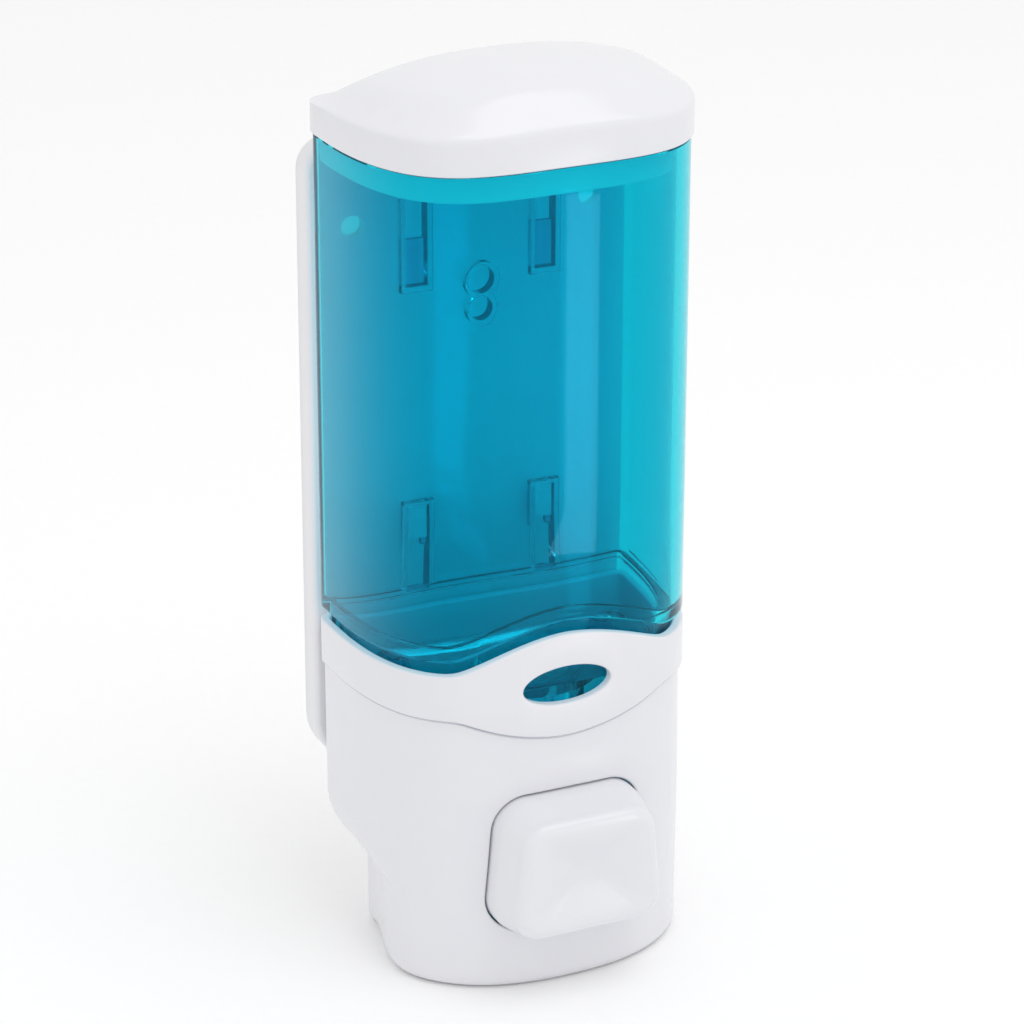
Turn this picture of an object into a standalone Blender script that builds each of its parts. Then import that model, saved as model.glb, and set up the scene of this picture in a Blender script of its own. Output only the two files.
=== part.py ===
"""Wall mounted soap dispenser: translucent tank, lid, collar, pump housing, push button and wall plate.

Sizes are in millimetres, with heights measured from the underside of the foot and depths from the wall.
X runs to the right, -Y towards the user and +Z up. The model's origin is the middle of the plate's back.
"""

import math

import bmesh
import bpy
from mathutils import Vector

# ---------------------------------------------------------------- driving dimensions, mm
MM = 0.001
WELD = 2e-6                 # metres; far below any real feature

TOTAL_HEIGHT = 191.4
LID_WIDTH = 74.0
LID_DEPTH = 53.1            # wall to the lid's front face

RUN_GAP = 0.3               # between pieces that touch
SLIDE_GAP = 0.4             # round a piece that slides
WALL = 2.2                  # moulded wall of the housing and the tank

# Plan outline shared by lid, tank, collar and housing
PLAN_POWERS = (3.98, 2.54)  # superellipse powers of the front half, across and along the depth
PLAN_SHOULDER = 14.6        # depth at which the curved front half starts
BACK_CORNER_R = 5.0
MIN_STEP = 0.1              # between outline points behind the shoulder of a deep inset

# Wall plate
PLATE_BACKSET = 6.8         # wall to the backs of tank, lid and housing
PLATE_THICKNESS = 6.2
PLATE_SKIN = 2.2
PLATE_HALF_WIDTH = LID_WIDTH / 2 - 0.8
PLATE_LOW = 33.5
PLATE_BELOW_LID = 3.8
PLATE_TOP_R = 6.5
PLATE_BOTTOM_R = 12.0
PLATE_SPINE = 7.0           # half width of the solid cross that bears on the wall
PLATE_SCREW_X = 26.0
PLATE_SCREW_INSET = 18.0    # screw holes from the plate's top and bottom edges
PLATE_SCREW_R = 2.3

# T-shaped hanging lugs on the plate, and the slots in the tank that take them
LUG_X = 14.4
LUG_NECK = 0.9              # half width
LUG_HEAD = 1.9              # half width
LUG_HEAD_T = 1.5
LUG_HEIGHT = 7.0
SLOT_LIP = 1.4              # tank material in front of which the head hooks
SLOT_SHELL = 1.1            # wall of the slot's box inside the tank
SLOT_LENGTH = 29.5          # outside height of each slot box
LIFT_OFF = 9.6              # rise that brings the lugs to the slots' wide entries

# Lid
LID_HEIGHT = 16.15          # its underside to the top of its dome
LID_BAND = 6.4
LID_FILLET_IN = 10.0
LID_FILLET_POWER = 1.85     # above 1 the fillet leaves the side wall more softly
LID_DOME = 7.0              # fall of the top from its middle to its sides
LID_DOME_POWER = 2.4
LID_DOME_FRONT = 3.0        # fall from its middle to its front
LID_DOME_REAR = 4.6
LID_DOME_Y = 29.6           # depth of the dome's top
LID_WALL = 2.0
LID_SKIRT = 6.0
LID_SKIRT_T = 1.5
TAB_X = 13.0
TAB_WIDTH = 12.4
TAB_T = 1.4
TAB_DROP = 15.0             # below the lid's underside

# Tank
TANK_INSET = 0.5
TANK_FLOOR = 63.9           # inner face of the floor
TANK_BOTTOM = 60.9
TANK_WALL = 2.3
KEYHOLE_BELOW_TOP = 38.5
KEYHOLE_UPPER_R = 3.0
KEYHOLE_LOWER_R = 2.6
KEYHOLE_PITCH = 6.2
KEYHOLE_RIM = 1.0
KEYHOLE_DEPTH = 3.0
SUMP_R = 10.0
SUMP_Y = 32.4
SUMP_FLOOR = 58.6
SPIGOT_Y = 27.0
SPIGOT_R = 6.0
SPIGOT_BORE_R = 4.0
SPIGOT_END = 47.4

# Collar
COLLAR_LOW = 60.9
COLLAR_HIGH = 70.55
COLLAR_T = 1.9
COLLAR_INSET = 0.4
COLLAR_SWELL = 6.35         # rise, and fall, of its edges at the front
SWELL_HALF = 23.1           # half length of the swelling
SWELL_POWER = 1.8
LEDGE_GAP = 2.9             # collar's top edge to the tank's step
WINDOW_HALF_W = 9.8
WINDOW_HALF_H = 4.1

# Pump housing
HOUSING_INSET = 1.1
FOOT_HALF_WIDTH = LID_WIDTH / 2 - 1.5
FOOT_DEPTH = 55.9           # wall to the foot's front
FOOT_POWERS = (2.33, 3.13)
UNDERCUT_TOP = 31.5
UNDERCUT_LOW = 19.0
UNDERCUT_IN = 7.3
UNDERCUT_REAR = 0.6         # share of the undercut that the back gets
UNDERCUT_FADE_FROM = 16.0   # depth at which the undercut starts to fade
UNDERCUT_FADE_TO = 44.0
FOOT_FILLET = 2.6
BASE_RECESS = 2.6
FOOT_RIM = 1.6              # width of the flat ring that the foot stands on
BASE_T = 2.5

# Push button
BUTTON_LOW = 13.1
BUTTON_HIGH = 42.8
BUTTON_HALF_LOW = 19.2      # hole's half width at its bottom edge
BUTTON_HALF_HIGH = 16.2
BUTTON_CORNER_R = 7.6
BUTTON_PROUD = 8.6          # face rim in front of the foot's front
BUTTON_DRAFT = 1.5          # the flank's taper towards the face
BUTTON_T = 2.0
BUTTON_SKIRT_Y = 44.0
BUTTON_DISH = 2.2
BUTTON_RIM_R = 2.4
BUTTON_STROKE = 8.0
BUTTON_STOP_W = 2.4
BUTTON_STOP_T = 1.8

# Pump
PUMP_Z = 28.2
PUMP_REAR = 16.0            # depth of the pump's rear flange
PUMP_FLANGE_T = 2.5
PUMP_BORE_R = 8.0
PUMP_WALL = 2.0
PUMP_FRONT = 37.0
PORT_Y = 21.3
PORT_R = 2.2
DUCT_HALF = 6.0
DUCT_TOP = 45.4
CUP_R = 8.6
CUP_TOP = 54.4
OUTLET_R = 4.5
OUTLET_BORE_R = 2.6
OUTLET_END = 13.0
NOZZLE_R = 6.3
NOZZLE_TIP_R = 4.2
NOZZLE_TIP = 4.6
NOZZLE_HOLE_R = 7.6
CAP_R = 10.4
CAP_T = 3.0
STEM_R = 3.0
PISTON_T = 3.0
SPRING_WIRE_R = 0.6
SPRING_R = 5.6
SPRING_TURNS = 6
PIN_R = 1.0

# Screws, all self-tapping with a round head
SCREW_R = 1.3
SCREW_HEAD_R = 2.6
SCREW_HEAD_T = 1.8
BOSS_R = 3.2
TANK_SCREWS_IN = ((12.5, 19.0), (14.0, 35.0))   # from the lid's side, and depth
BASE_SCREWS_IN = ((14.5, 20.0), (18.5, 38.0))   # from the foot's side, and depth
PUMP_SCREW_X = 15.5
PUMP_SCREW_Z = 38.2
TANK_LUG_T = 3.0
TANK_BOSS_LENGTH = 10.0
BASE_BOSS_LENGTH = 7.0

# Facets
QUARTER_STEPS = 15
CORNER_STEPS = 3
ROUND_STEPS = 32
SMALL_STEPS = 16

# ---------------------------------------------------------------- derived places, mm
LID_LOW = TOTAL_HEIGHT - LID_HEIGHT
TANK_TOP = LID_LOW - RUN_GAP
PLATE_HIGH = LID_LOW - PLATE_BELOW_LID
ORIGIN_HEIGHT = (PLATE_LOW + PLATE_HIGH) / 2
LID_HALF = LID_WIDTH / 2
TANK_SCREW_PLACES = [(side * (LID_HALF - inwards), y) for inwards, y in TANK_SCREWS_IN for side in (-1, 1)]
BASE_SCREW_PLACES = [(side * (FOOT_HALF_WIDTH - inwards), y) for inwards, y in BASE_SCREWS_IN for side in (-1, 1)]
COLLAR_MIDDLE = (COLLAR_LOW + COLLAR_HIGH) / 2
HOUSING_TOP = COLLAR_LOW - RUN_GAP
NECK_INSET = COLLAR_INSET + COLLAR_T + RUN_GAP
SLOT_DEPTH = LUG_HEAD_T + 2 * RUN_GAP
SLOT_HALF = LUG_HEAD + SLIDE_GAP
SLOT_FRONT = PLATE_BACKSET + SLOT_LIP + SLOT_DEPTH + SLOT_SHELL
LOWER_SLOT_TOP = TANK_FLOOR + SLOT_LENGTH
UPPER_SLOT_TOP = LID_LOW - LID_SKIRT - 2 * RUN_GAP
BUTTON_FACE = FOOT_DEPTH + BUTTON_PROUD
FLANGE_FACE = PUMP_REAR + PUMP_FLANGE_T
CHAMBER_REAR = FLANGE_FACE + 0.4
PISTON_REAR = PUMP_FRONT - 2.5 - PISTON_T
STEM_TIP = -(BUTTON_FACE - BUTTON_DISH - BUTTON_T - 2.0)
SOCKET_REAR = PUMP_FRONT + RUN_GAP + CAP_T + BUTTON_STROKE + 2 * RUN_GAP
PIN_Y = SOCKET_REAR + 3.0
BASE_TOP = BASE_RECESS + BASE_T


# ---------------------------------------------------------------- mesh helpers
def lerp(a, b, t):
    return a + (b - a) * t


def smooth(t):
    t = min(max(t, 0.0), 1.0)
    return t * t * (3 - 2 * t)


def new_object(name, mesh, material):
    obj = bpy.data.objects.new(name, mesh)
    bpy.context.scene.collection.objects.link(obj)
    if material:
        mesh.materials.append(material)
    return obj


def solid(name, points, faces, material=None):
    """A closed body from points in mm, with its faces turned outwards."""
    bm = bmesh.new()
    verts = [bm.verts.new((x * MM, y * MM, (z - ORIGIN_HEIGHT) * MM)) for x, y, z in points]
    for face in faces:
        bm.faces.new([verts[i] for i in face])
    bmesh.ops.recalc_face_normals(bm, faces=bm.faces)
    mesh = bpy.data.meshes.new(name)
    bm.to_mesh(mesh)
    bm.free()
    mesh.shade_smooth()
    mesh.set_sharp_from_angle(angle=math.radians(35))
    return new_object(name, mesh, material)


def loft(name, rings, material=None, closed=False):
    """Skins rings of equal count. Open lofts get a cap at each end; closed ones join last to first."""
    count = len(rings[0])
    points = [point for ring in rings for point in ring]
    faces = []
    for i in range(len(rings) if closed else len(rings) - 1):
        low = i * count
        high = ((i + 1) % len(rings)) * count
        for j in range(count):
            k = (j + 1) % count
            faces.append((low + j, low + k, high + k, high + j))
    if not closed:
        last = (len(rings) - 1) * count
        faces.append(tuple(reversed(range(count))))
        faces.append(tuple(range(last, last + count)))
    return solid(name, points, faces, material)


def on_axis(axis, centre, radius, angle, along):
    """A point at a radius and angle about an axis; along is an absolute depth or height."""
    c = radius * math.cos(angle)
    s = radius * math.sin(angle)
    if axis == "Z":
        return centre[0] + c, centre[1] + s, along
    if axis == "Y":
        return centre[0] + c, along, centre[1] + s
    return along, centre[0] + c, centre[1] + s


def turned(name, axis, centre, profile, steps=ROUND_STEPS, material=None):
    """Revolves a closed profile of (radius, along) points. Points at radius 0 become poles."""
    points = []
    rings = []
    for radius, along in profile:
        if radius == 0:
            rings.append([len(points)] * steps)
            points.append(on_axis(axis, centre, 0, 0, along))
        else:
            rings.append(list(range(len(points), len(points) + steps)))
            points += [
                on_axis(axis, centre, radius, 2 * math.pi * i / steps, along) for i in range(steps)
            ]
    faces = []
    has_poles = profile[0][0] == 0
    for i in range(len(rings) - 1 if has_poles else len(rings)):
        a = rings[i]
        b = rings[(i + 1) % len(rings)]
        for j in range(steps):
            k = (j + 1) % steps
            corners = [a[j], a[k], b[k], b[j]]
            face = list(dict.fromkeys(corners))
            if len(face) > 2:
                faces.append(tuple(face))
    return solid(name, points, faces, material)


def rod(name, axis, centre, radius, start, end, steps=ROUND_STEPS, material=None):
    return turned(name, axis, centre, [(0, start), (radius, start), (radius, end), (0, end)], steps, material)


def tube(name, axis, centre, outer, inner, start, end, steps=ROUND_STEPS, material=None):
    profile = [(outer, start), (outer, end), (inner, end), (inner, start)]
    return turned(name, axis, centre, profile, steps, material)


def block(name, low, high, material=None):
    (x0, y0, z0), (x1, y1, z1) = low, high
    ring = [(x0, y0), (x1, y0), (x1, y1), (x0, y1)]
    return loft(name, [[(x, y, z0) for x, y in ring], [(x, y, z1) for x, y in ring]], material)


def apply_boolean(target, tools, operation):
    """Joins or cuts with all the tools in one exact operation, then leaves a clean, welded mesh."""
    group = bpy.data.collections.new("tools")
    bpy.context.scene.collection.children.link(group)
    for tool in tools:
        bpy.context.scene.collection.objects.unlink(tool)
        group.objects.link(tool)
    modifier = target.modifiers.new(operation.title(), "BOOLEAN")
    modifier.operation = operation
    modifier.solver = "EXACT"
    modifier.operand_type = "COLLECTION"
    modifier.collection = group
    bpy.context.view_layer.update()
    depsgraph = bpy.context.evaluated_depsgraph_get()
    mesh = bpy.data.meshes.new_from_object(target.evaluated_get(depsgraph), depsgraph=depsgraph)
    target.modifiers.clear()
    bm = bmesh.new()
    bm.from_mesh(mesh)
    bmesh.ops.remove_doubles(bm, verts=bm.verts, dist=WELD)
    bmesh.ops.dissolve_degenerate(bm, edges=bm.edges, dist=WELD)
    bmesh.ops.triangulate(bm, faces=[face for face in bm.faces if len(face.verts) > 4])
    bm.to_mesh(mesh)
    bm.free()
    old = target.data
    target.data = mesh
    bpy.data.meshes.remove(old)
    for tool in tools:
        bpy.data.objects.remove(tool)
    bpy.data.collections.remove(group)
    mesh.name = target.name


def join(target, *tools):
    apply_boolean(target, tools, "UNION")


def cut(target, *tools):
    apply_boolean(target, tools, "DIFFERENCE")


def plastic(name, color, roughness, metallic=0.0, alpha=1.0):
    material = bpy.data.materials.new(name)
    material.use_nodes = True
    shader = material.node_tree.nodes["Principled BSDF"]
    shader.inputs["Base Color"].default_value = (*color, 1.0)
    shader.inputs["Roughness"].default_value = roughness
    shader.inputs["Metallic"].default_value = metallic
    shader.inputs["Alpha"].default_value = alpha
    return material


# ---------------------------------------------------------------- outlines
def plan(inset=0.0, half=LID_HALF, depth=LID_DEPTH, powers=PLAN_POWERS, back=PLATE_BACKSET):
    """The shared plan outline as (x, depth) points, anticlockwise from the middle of the back."""
    a = half - inset
    b = depth - inset - PLAN_SHOULDER
    rear = back + inset
    corner = max(BACK_CORNER_R - inset, 1.0)
    side = [(0.0, rear)]
    for i in range(CORNER_STEPS + 1):
        angle = math.pi / 2 * i / CORNER_STEPS
        x = a - corner + corner * math.sin(angle)
        side.append((x, rear + corner - corner * math.cos(angle)))
    across, along = powers
    for i in range(1, QUARTER_STEPS + 1):
        angle = math.pi / 2 * smooth(i / QUARTER_STEPS)
        x = a * abs(math.cos(angle)) ** (2 / across)
        depth_there = PLAN_SHOULDER + b * math.sin(angle) ** (2 / along)
        side.append((x, max(depth_there, rear + corner + MIN_STEP * i)))
    side[-1] = (0.0, PLAN_SHOULDER + b)
    return side + [(-x, y) for x, y in reversed(side[1:-1])]


def ring_at(outline, height):
    """An outline lifted to a height, which may be a number or a function of x and depth."""
    if callable(height):
        return [(x, -y, height(x, y)) for x, y in outline]
    return [(x, -y, height) for x, y in outline]


def half_width_at(depth, inset, half, front, powers):
    """Half width of a plan outline at a depth in its curved front part."""
    across, along = powers
    a = half - inset
    b = front - inset - PLAN_SHOULDER
    t = min(max((depth - PLAN_SHOULDER) / b, 0.0), 0.999)
    return a * (1 - t**along) ** (1 / across)


def front_depth_at(x, half, front, powers):
    """Depth of a plan outline's front at a distance x from the middle."""
    across, along = powers
    share = min(x / half, 0.99)
    return PLAN_SHOULDER + (front - PLAN_SHOULDER) * (1 - share**across) ** (1 / along)


def swell(x, depth):
    """How far the collar's edge leaves its side height, at a point of the outline."""
    if depth < PLAN_SHOULDER + 8.0:
        return 0.0
    t = 1 - (abs(x) / SWELL_HALF) ** SWELL_POWER
    return COLLAR_SWELL * (t + math.sqrt(t * t + 0.015)) / 2


def raised(base, extra=0.0):
    return lambda x, y: base + extra + swell(x, y)


def lowered(base, extra=0.0):
    return lambda x, y: base + extra - swell(x, y)


# ---------------------------------------------------------------- wall plate
def plate_outline(inset):
    half = PLATE_HALF_WIDTH - inset
    low = PLATE_LOW + inset
    high = PLATE_HIGH - inset
    corners = (
        (half, low, PLATE_BOTTOM_R, -math.pi / 2, -1, 1),
        (half, high, PLATE_TOP_R, 0.0, -1, -1),
        (-half, high, PLATE_TOP_R, math.pi / 2, 1, -1),
        (-half, low, PLATE_BOTTOM_R, math.pi, 1, 1),
    )
    points = []
    for x, z, full_radius, start, sx, sz in corners:
        radius = full_radius - inset
        for i in range(7):
            angle = start + math.pi / 12 * i
            cx = x + sx * radius
            cz = z + sz * radius
            points.append((cx + radius * math.cos(angle), cz + radius * math.sin(angle)))
    return points


def lug(name, x, top):
    """A T-shaped lug standing on the plate's front, its head parallel to the wall."""
    root = PLATE_THICKNESS - 1.0
    head_back = PLATE_BACKSET + SLOT_LIP + RUN_GAP
    low = top - LUG_HEIGHT
    neck = block(name, (x - LUG_NECK, -head_back - 0.5, low), (x + LUG_NECK, -root, top))
    head = block("head", (x - LUG_HEAD, -head_back - LUG_HEAD_T, low), (x + LUG_HEAD, -head_back, top))
    join(neck, head)
    return neck


def wall_plate(material):
    rings = (
        (0.8, 0.0),
        (0.0, 0.8),
        (0.0, PLATE_THICKNESS - 1.0),
        (1.0, PLATE_THICKNESS),
    )
    plate = loft("wall_plate", [[(x, -y, z) for x, z in plate_outline(i)] for i, y in rings], material)
    deep = PLATE_THICKNESS - PLATE_SKIN
    edge = PLATE_SKIN
    for side in (-1, 1):
        for low, high in (
            (PLATE_LOW + edge, ORIGIN_HEIGHT - PLATE_SPINE),
            (ORIGIN_HEIGHT + PLATE_SPINE, PLATE_HIGH - edge),
        ):
            inner = side * PLATE_SPINE
            outer = side * (PLATE_HALF_WIDTH - edge - PLATE_BOTTOM_R * 0.3)
            x0, x1 = min(inner, outer), max(inner, outer)
            cut(plate, block("recess", (x0, -deep, low + 3.0), (x1, 1.0, high - 3.0)))
    for side in (-1, 1):
        for z in (PLATE_LOW + PLATE_SCREW_INSET, PLATE_HIGH - PLATE_SCREW_INSET):
            centre = (side * PLATE_SCREW_X, z)
            cut(plate, rod("hole", "Y", centre, PLATE_SCREW_R, -PLATE_THICKNESS - 1, 1, SMALL_STEPS))
    for x in (-LUG_X, LUG_X):
        for slot_top in (LOWER_SLOT_TOP, UPPER_SLOT_TOP):
            join(plate, lug("lug", x, slot_top - SLOT_SHELL - RUN_GAP))
    return plate


# ---------------------------------------------------------------- tank
def slot_tools(x, top, low):
    """The box round a hanging slot inside the tank, and the cuts of the slot and its wider entry."""
    wide = SLOT_HALF + SLOT_SHELL
    step_top = COLLAR_HIGH + LEDGE_GAP
    cavity_low = max(low, step_top) + SLOT_SHELL
    cavity_top = top - SLOT_SHELL
    rear = PLATE_BACKSET
    box_low = max(low, step_top + 0.2)
    shells = [block("slot_box", (x - wide, -SLOT_FRONT, box_low), (x + wide, -rear - 1.0, top))]
    if low < step_top:
        rib_rear = -rear - NECK_INSET - 1.0
        shells.append(block("slot_rib", (x - wide, -SLOT_FRONT, low), (x + wide, rib_rear, box_low + 1.0)))
    under = -rear - SLOT_LIP
    back = under - SLOT_DEPTH
    pocket = block("pocket", (x - SLOT_HALF, back, cavity_low), (x + SLOT_HALF, under, cavity_top))
    entry_top = cavity_top - LIFT_OFF
    entry_low = entry_top - LUG_HEIGHT - 4 * RUN_GAP
    inside = 0.05
    neck = LUG_NECK + SLIDE_GAP
    throat = block(
        "throat", (x - neck, under - 0.5, entry_low + 1.0), (x + neck, -rear + 1, cavity_top - inside)
    )
    entry = block(
        "entry",
        (x - SLOT_HALF + inside, under - 0.5, entry_low),
        (x + SLOT_HALF - inside, -rear + 1, entry_top),
    )
    return shells, (pocket, throat, entry)


def figure_eight(name, upper_r, lower_r, y0, y1):
    z = TANK_TOP - KEYHOLE_BELOW_TOP
    upper = rod(name, "Y", (0, z + KEYHOLE_PITCH / 2), upper_r, y0, y1, 24)
    lower = rod("lower", "Y", (0, z - KEYHOLE_PITCH / 2), lower_r, y0, y1, 24)
    join(upper, lower)
    return upper


def tank(material):
    wall_top = TANK_INSET + TANK_WALL
    neck_in = NECK_INSET + WALL
    outer = plan(TANK_INSET)
    neck = plan(NECK_INSET)
    step = raised(COLLAR_HIGH, LEDGE_GAP)
    inner_step = raised(COLLAR_HIGH, LEDGE_GAP + TANK_WALL)
    body = loft(
        "tank",
        [
            ring_at(neck, TANK_BOTTOM),
            ring_at(neck, step),
            ring_at(outer, step),
            ring_at(outer, TANK_TOP),
            ring_at(plan(wall_top), TANK_TOP),
            ring_at(plan(wall_top), inner_step),
            ring_at(plan(neck_in), inner_step),
            ring_at(plan(neck_in), TANK_FLOOR),
        ],
        material,
    )
    cuts = []
    for x in (-LUG_X, LUG_X):
        for top, low in ((LOWER_SLOT_TOP, TANK_FLOOR - 1.0), (UPPER_SLOT_TOP, UPPER_SLOT_TOP - SLOT_LENGTH)):
            shells, tools = slot_tools(x, top, low)
            for shell in shells:
                join(body, shell)
            cuts += tools
    rear = -PLATE_BACKSET
    pad = 1.6
    join(
        body,
        figure_eight(
            "keyhole_boss",
            KEYHOLE_UPPER_R + KEYHOLE_RIM,
            KEYHOLE_LOWER_R + KEYHOLE_RIM,
            rear - KEYHOLE_DEPTH - pad,
            rear - 1.0,
        ),
    )
    cuts.append(figure_eight("keyhole", KEYHOLE_UPPER_R, KEYHOLE_LOWER_R, rear - KEYHOLE_DEPTH, rear + 1))

    sump_centre = (0, -SUMP_Y)
    sump_low = SUMP_FLOOR - WALL
    join(body, rod("sump", "Z", sump_centre, SUMP_R + WALL, sump_low, TANK_BOTTOM + 1.0))
    join(body, rod("spigot", "Z", (0, -SPIGOT_Y), SPIGOT_R, SPIGOT_END, SUMP_FLOOR - 0.5))
    for x, y in TANK_SCREW_PLACES:
        boss_low = TANK_BOTTOM - TANK_BOSS_LENGTH
        join(body, rod("boss", "Z", (x, -y), BOSS_R, boss_low, TANK_BOTTOM + 1.0, SMALL_STEPS))
        hole_top = TANK_BOTTOM - 1.0
        cuts.append(rod("pilot", "Z", (x, -y), SCREW_R + RUN_GAP, boss_low - 1, hole_top, SMALL_STEPS))
    cuts.append(rod("well", "Z", sump_centre, SUMP_R, SUMP_FLOOR, TANK_FLOOR + 1.0))
    cuts.append(rod("bore", "Z", (0, -SPIGOT_Y), SPIGOT_BORE_R, SPIGOT_END - 1, SUMP_FLOOR + 1, 24))
    cut(body, *cuts)
    return body


# ---------------------------------------------------------------- lid
def lid_top(x, depth):
    """Height of the lid's domed top over a point of the plan."""
    across = abs(x) / LID_HALF
    if depth > LID_DOME_Y:
        fall = LID_DOME_FRONT * ((depth - LID_DOME_Y) / (LID_DEPTH - LID_DOME_Y)) ** LID_DOME_POWER
    else:
        fall = LID_DOME_REAR * ((LID_DOME_Y - depth) / (LID_DOME_Y - PLATE_BACKSET)) ** LID_DOME_POWER
    return TOTAL_HEIGHT - LID_DOME * across**LID_DOME_POWER - fall


def lid(material):
    band_top = LID_LOW + LID_BAND

    def fillet_and_dome(extra_inset, drop):
        """Rings from the top of the side wall to the middle of the top."""
        rings = []
        for i in range(1, 7):
            angle = math.pi / 2 * i / 6
            inset = extra_inset + LID_FILLET_IN * (1 - math.cos(angle))
            rise = math.sin(angle) ** LID_FILLET_POWER
            foot = band_top - drop
            rings.append(
                ring_at(
                    plan(inset),
                    lambda x, y, foot=foot, rise=rise: foot + (lid_top(x, y) - drop - foot) * rise,
                )
            )
        end = plan(extra_inset + LID_FILLET_IN)
        for t in (0.3, 0.6, 0.9):
            shrunk = [(x * (1 - t), LID_DOME_Y + (y - LID_DOME_Y) * (1 - t)) for x, y in end]
            rings.append(ring_at(shrunk, lambda x, y: lid_top(x, y) - drop))
        return rings

    edge = TANK_INSET + TANK_WALL + RUN_GAP
    inside = edge + LID_SKIRT_T
    rings = list(reversed(fillet_and_dome(0.0, 0.0)))
    rings.append(ring_at(plan(0.0), band_top))
    rings.append(ring_at(plan(0.0), LID_LOW))
    rings.append(ring_at(plan(edge), LID_LOW))
    rings.append(ring_at(plan(edge), LID_LOW - LID_SKIRT))
    rings.append(ring_at(plan(inside), LID_LOW - LID_SKIRT))
    rings.append(ring_at(plan(inside), band_top - LID_WALL))
    rings += fillet_and_dome(inside, LID_WALL)
    body = loft("lid", rings, material)
    tab_rear = SLOT_FRONT + SLIDE_GAP
    for x in (-TAB_X, TAB_X):
        low = (x - TAB_WIDTH / 2, -tab_rear - TAB_T, LID_LOW - TAB_DROP)
        high = (x + TAB_WIDTH / 2, -tab_rear, LID_LOW + 3.0)
        join(body, block("tab", low, high))
        web_low = (x - TAB_WIDTH / 2, -tab_rear - TAB_T, LID_LOW - 1.5)
        web_high = (x + TAB_WIDTH / 2, -PLATE_BACKSET - edge - 0.5, LID_LOW + 2.5)
        join(body, block("web", web_low, web_high))
    return body


# ---------------------------------------------------------------- collar
def wave_collar(material):
    collar = loft(
        "wave_collar",
        [
            ring_at(plan(COLLAR_INSET), lowered(COLLAR_LOW)),
            ring_at(plan(COLLAR_INSET), raised(COLLAR_HIGH)),
            ring_at(plan(COLLAR_INSET + COLLAR_T), raised(COLLAR_HIGH)),
            ring_at(plan(COLLAR_INSET + COLLAR_T), lowered(COLLAR_LOW)),
        ],
        material,
        closed=True,
    )
    steps = 28
    ring = []
    for i in range(steps):
        angle = 2 * math.pi * i / steps
        ring.append((WINDOW_HALF_W * math.cos(angle), COLLAR_MIDDLE + WINDOW_HALF_H * math.sin(angle)))
    deep = LID_DEPTH - COLLAR_T - 3.0
    window = loft("window", [[(x, -y, z) for x, z in ring] for y in (deep, LID_DEPTH + 1.0)])
    cut(collar, window)
    return collar


# ---------------------------------------------------------------- housing
def housing_size(height):
    """Half width, depth and powers of the housing's outline at a height."""
    t = smooth((HOUSING_TOP - height) / HOUSING_TOP)
    half = lerp(LID_HALF - HOUSING_INSET, FOOT_HALF_WIDTH, t)
    depth = lerp(LID_DEPTH - HOUSING_INSET, FOOT_DEPTH, t)
    powers = [lerp(top, foot, t) for top, foot in zip(PLAN_POWERS, FOOT_POWERS)]
    return half, depth, powers


def housing_plan(height, inset):
    """The housing's outline at a height: it rounds off towards the foot, and is undercut behind."""
    half, depth, powers = housing_size(height)
    back = PLATE_BACKSET
    outline = plan(inset, half, depth, powers, back)
    rise = (UNDERCUT_TOP - height) / (UNDERCUT_TOP - UNDERCUT_LOW)
    pull = UNDERCUT_IN * (1 - math.sqrt(1 - min(max(rise, 0.0), 1.0) ** 2 * 0.85)) / (1 - math.sqrt(0.15))
    moved = []
    for x, y in outline:
        fade = 1 - smooth((y - UNDERCUT_FADE_FROM) / (UNDERCUT_FADE_TO - UNDERCUT_FADE_FROM))
        shift = pull * fade
        limit = max(half - inset - shift, 1.0)
        rear = UNDERCUT_REAR * (1 - smooth((y - back) / (PLAN_SHOULDER - 2.0)))
        moved.append((x * limit / (half - inset), y + shift * rear))
    return moved


def housing_levels():
    """Heights of the rings from the collar down to the bottom fillet."""
    levels = [50.0, 44.0, 38.0, UNDERCUT_TOP]
    levels += [UNDERCUT_TOP - (UNDERCUT_TOP - UNDERCUT_LOW) * s for s in (0.3, 0.55, 0.8, 0.95, 1.0)]
    levels += [15.0, 11.0, 7.0]
    return levels


def button_outline(inset):
    """The button's rounded trapezoid as (x, z) points, shrunk by an inset."""
    low = BUTTON_LOW + inset
    high = BUTTON_HIGH - inset
    slope = (BUTTON_HALF_LOW - BUTTON_HALF_HIGH) / (BUTTON_HIGH - BUTTON_LOW)
    lean = math.atan(slope)
    side_in = inset / math.cos(lean)
    half_low = BUTTON_HALF_LOW - side_in - slope * (low - BUTTON_LOW)
    half_high = BUTTON_HALF_LOW - side_in - slope * (high - BUTTON_LOW)
    radius = max(BUTTON_CORNER_R - inset, 1.0)
    points = []
    spread_low = radius * math.tan((math.pi / 2 + lean) / 2)
    spread_high = radius * math.tan((math.pi / 2 - lean) / 2)
    corners = (
        (half_low - spread_low, low + radius, -math.pi / 2, lean),
        (half_high - spread_high, high - radius, lean, math.pi / 2),
    )
    for cx, cz, start, end in corners:
        for i in range(7):
            angle = lerp(start, end, i / 6)
            points.append((cx + radius * math.cos(angle), cz + radius * math.sin(angle)))
    return points + [(-x, z) for x, z in reversed(points)]


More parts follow.
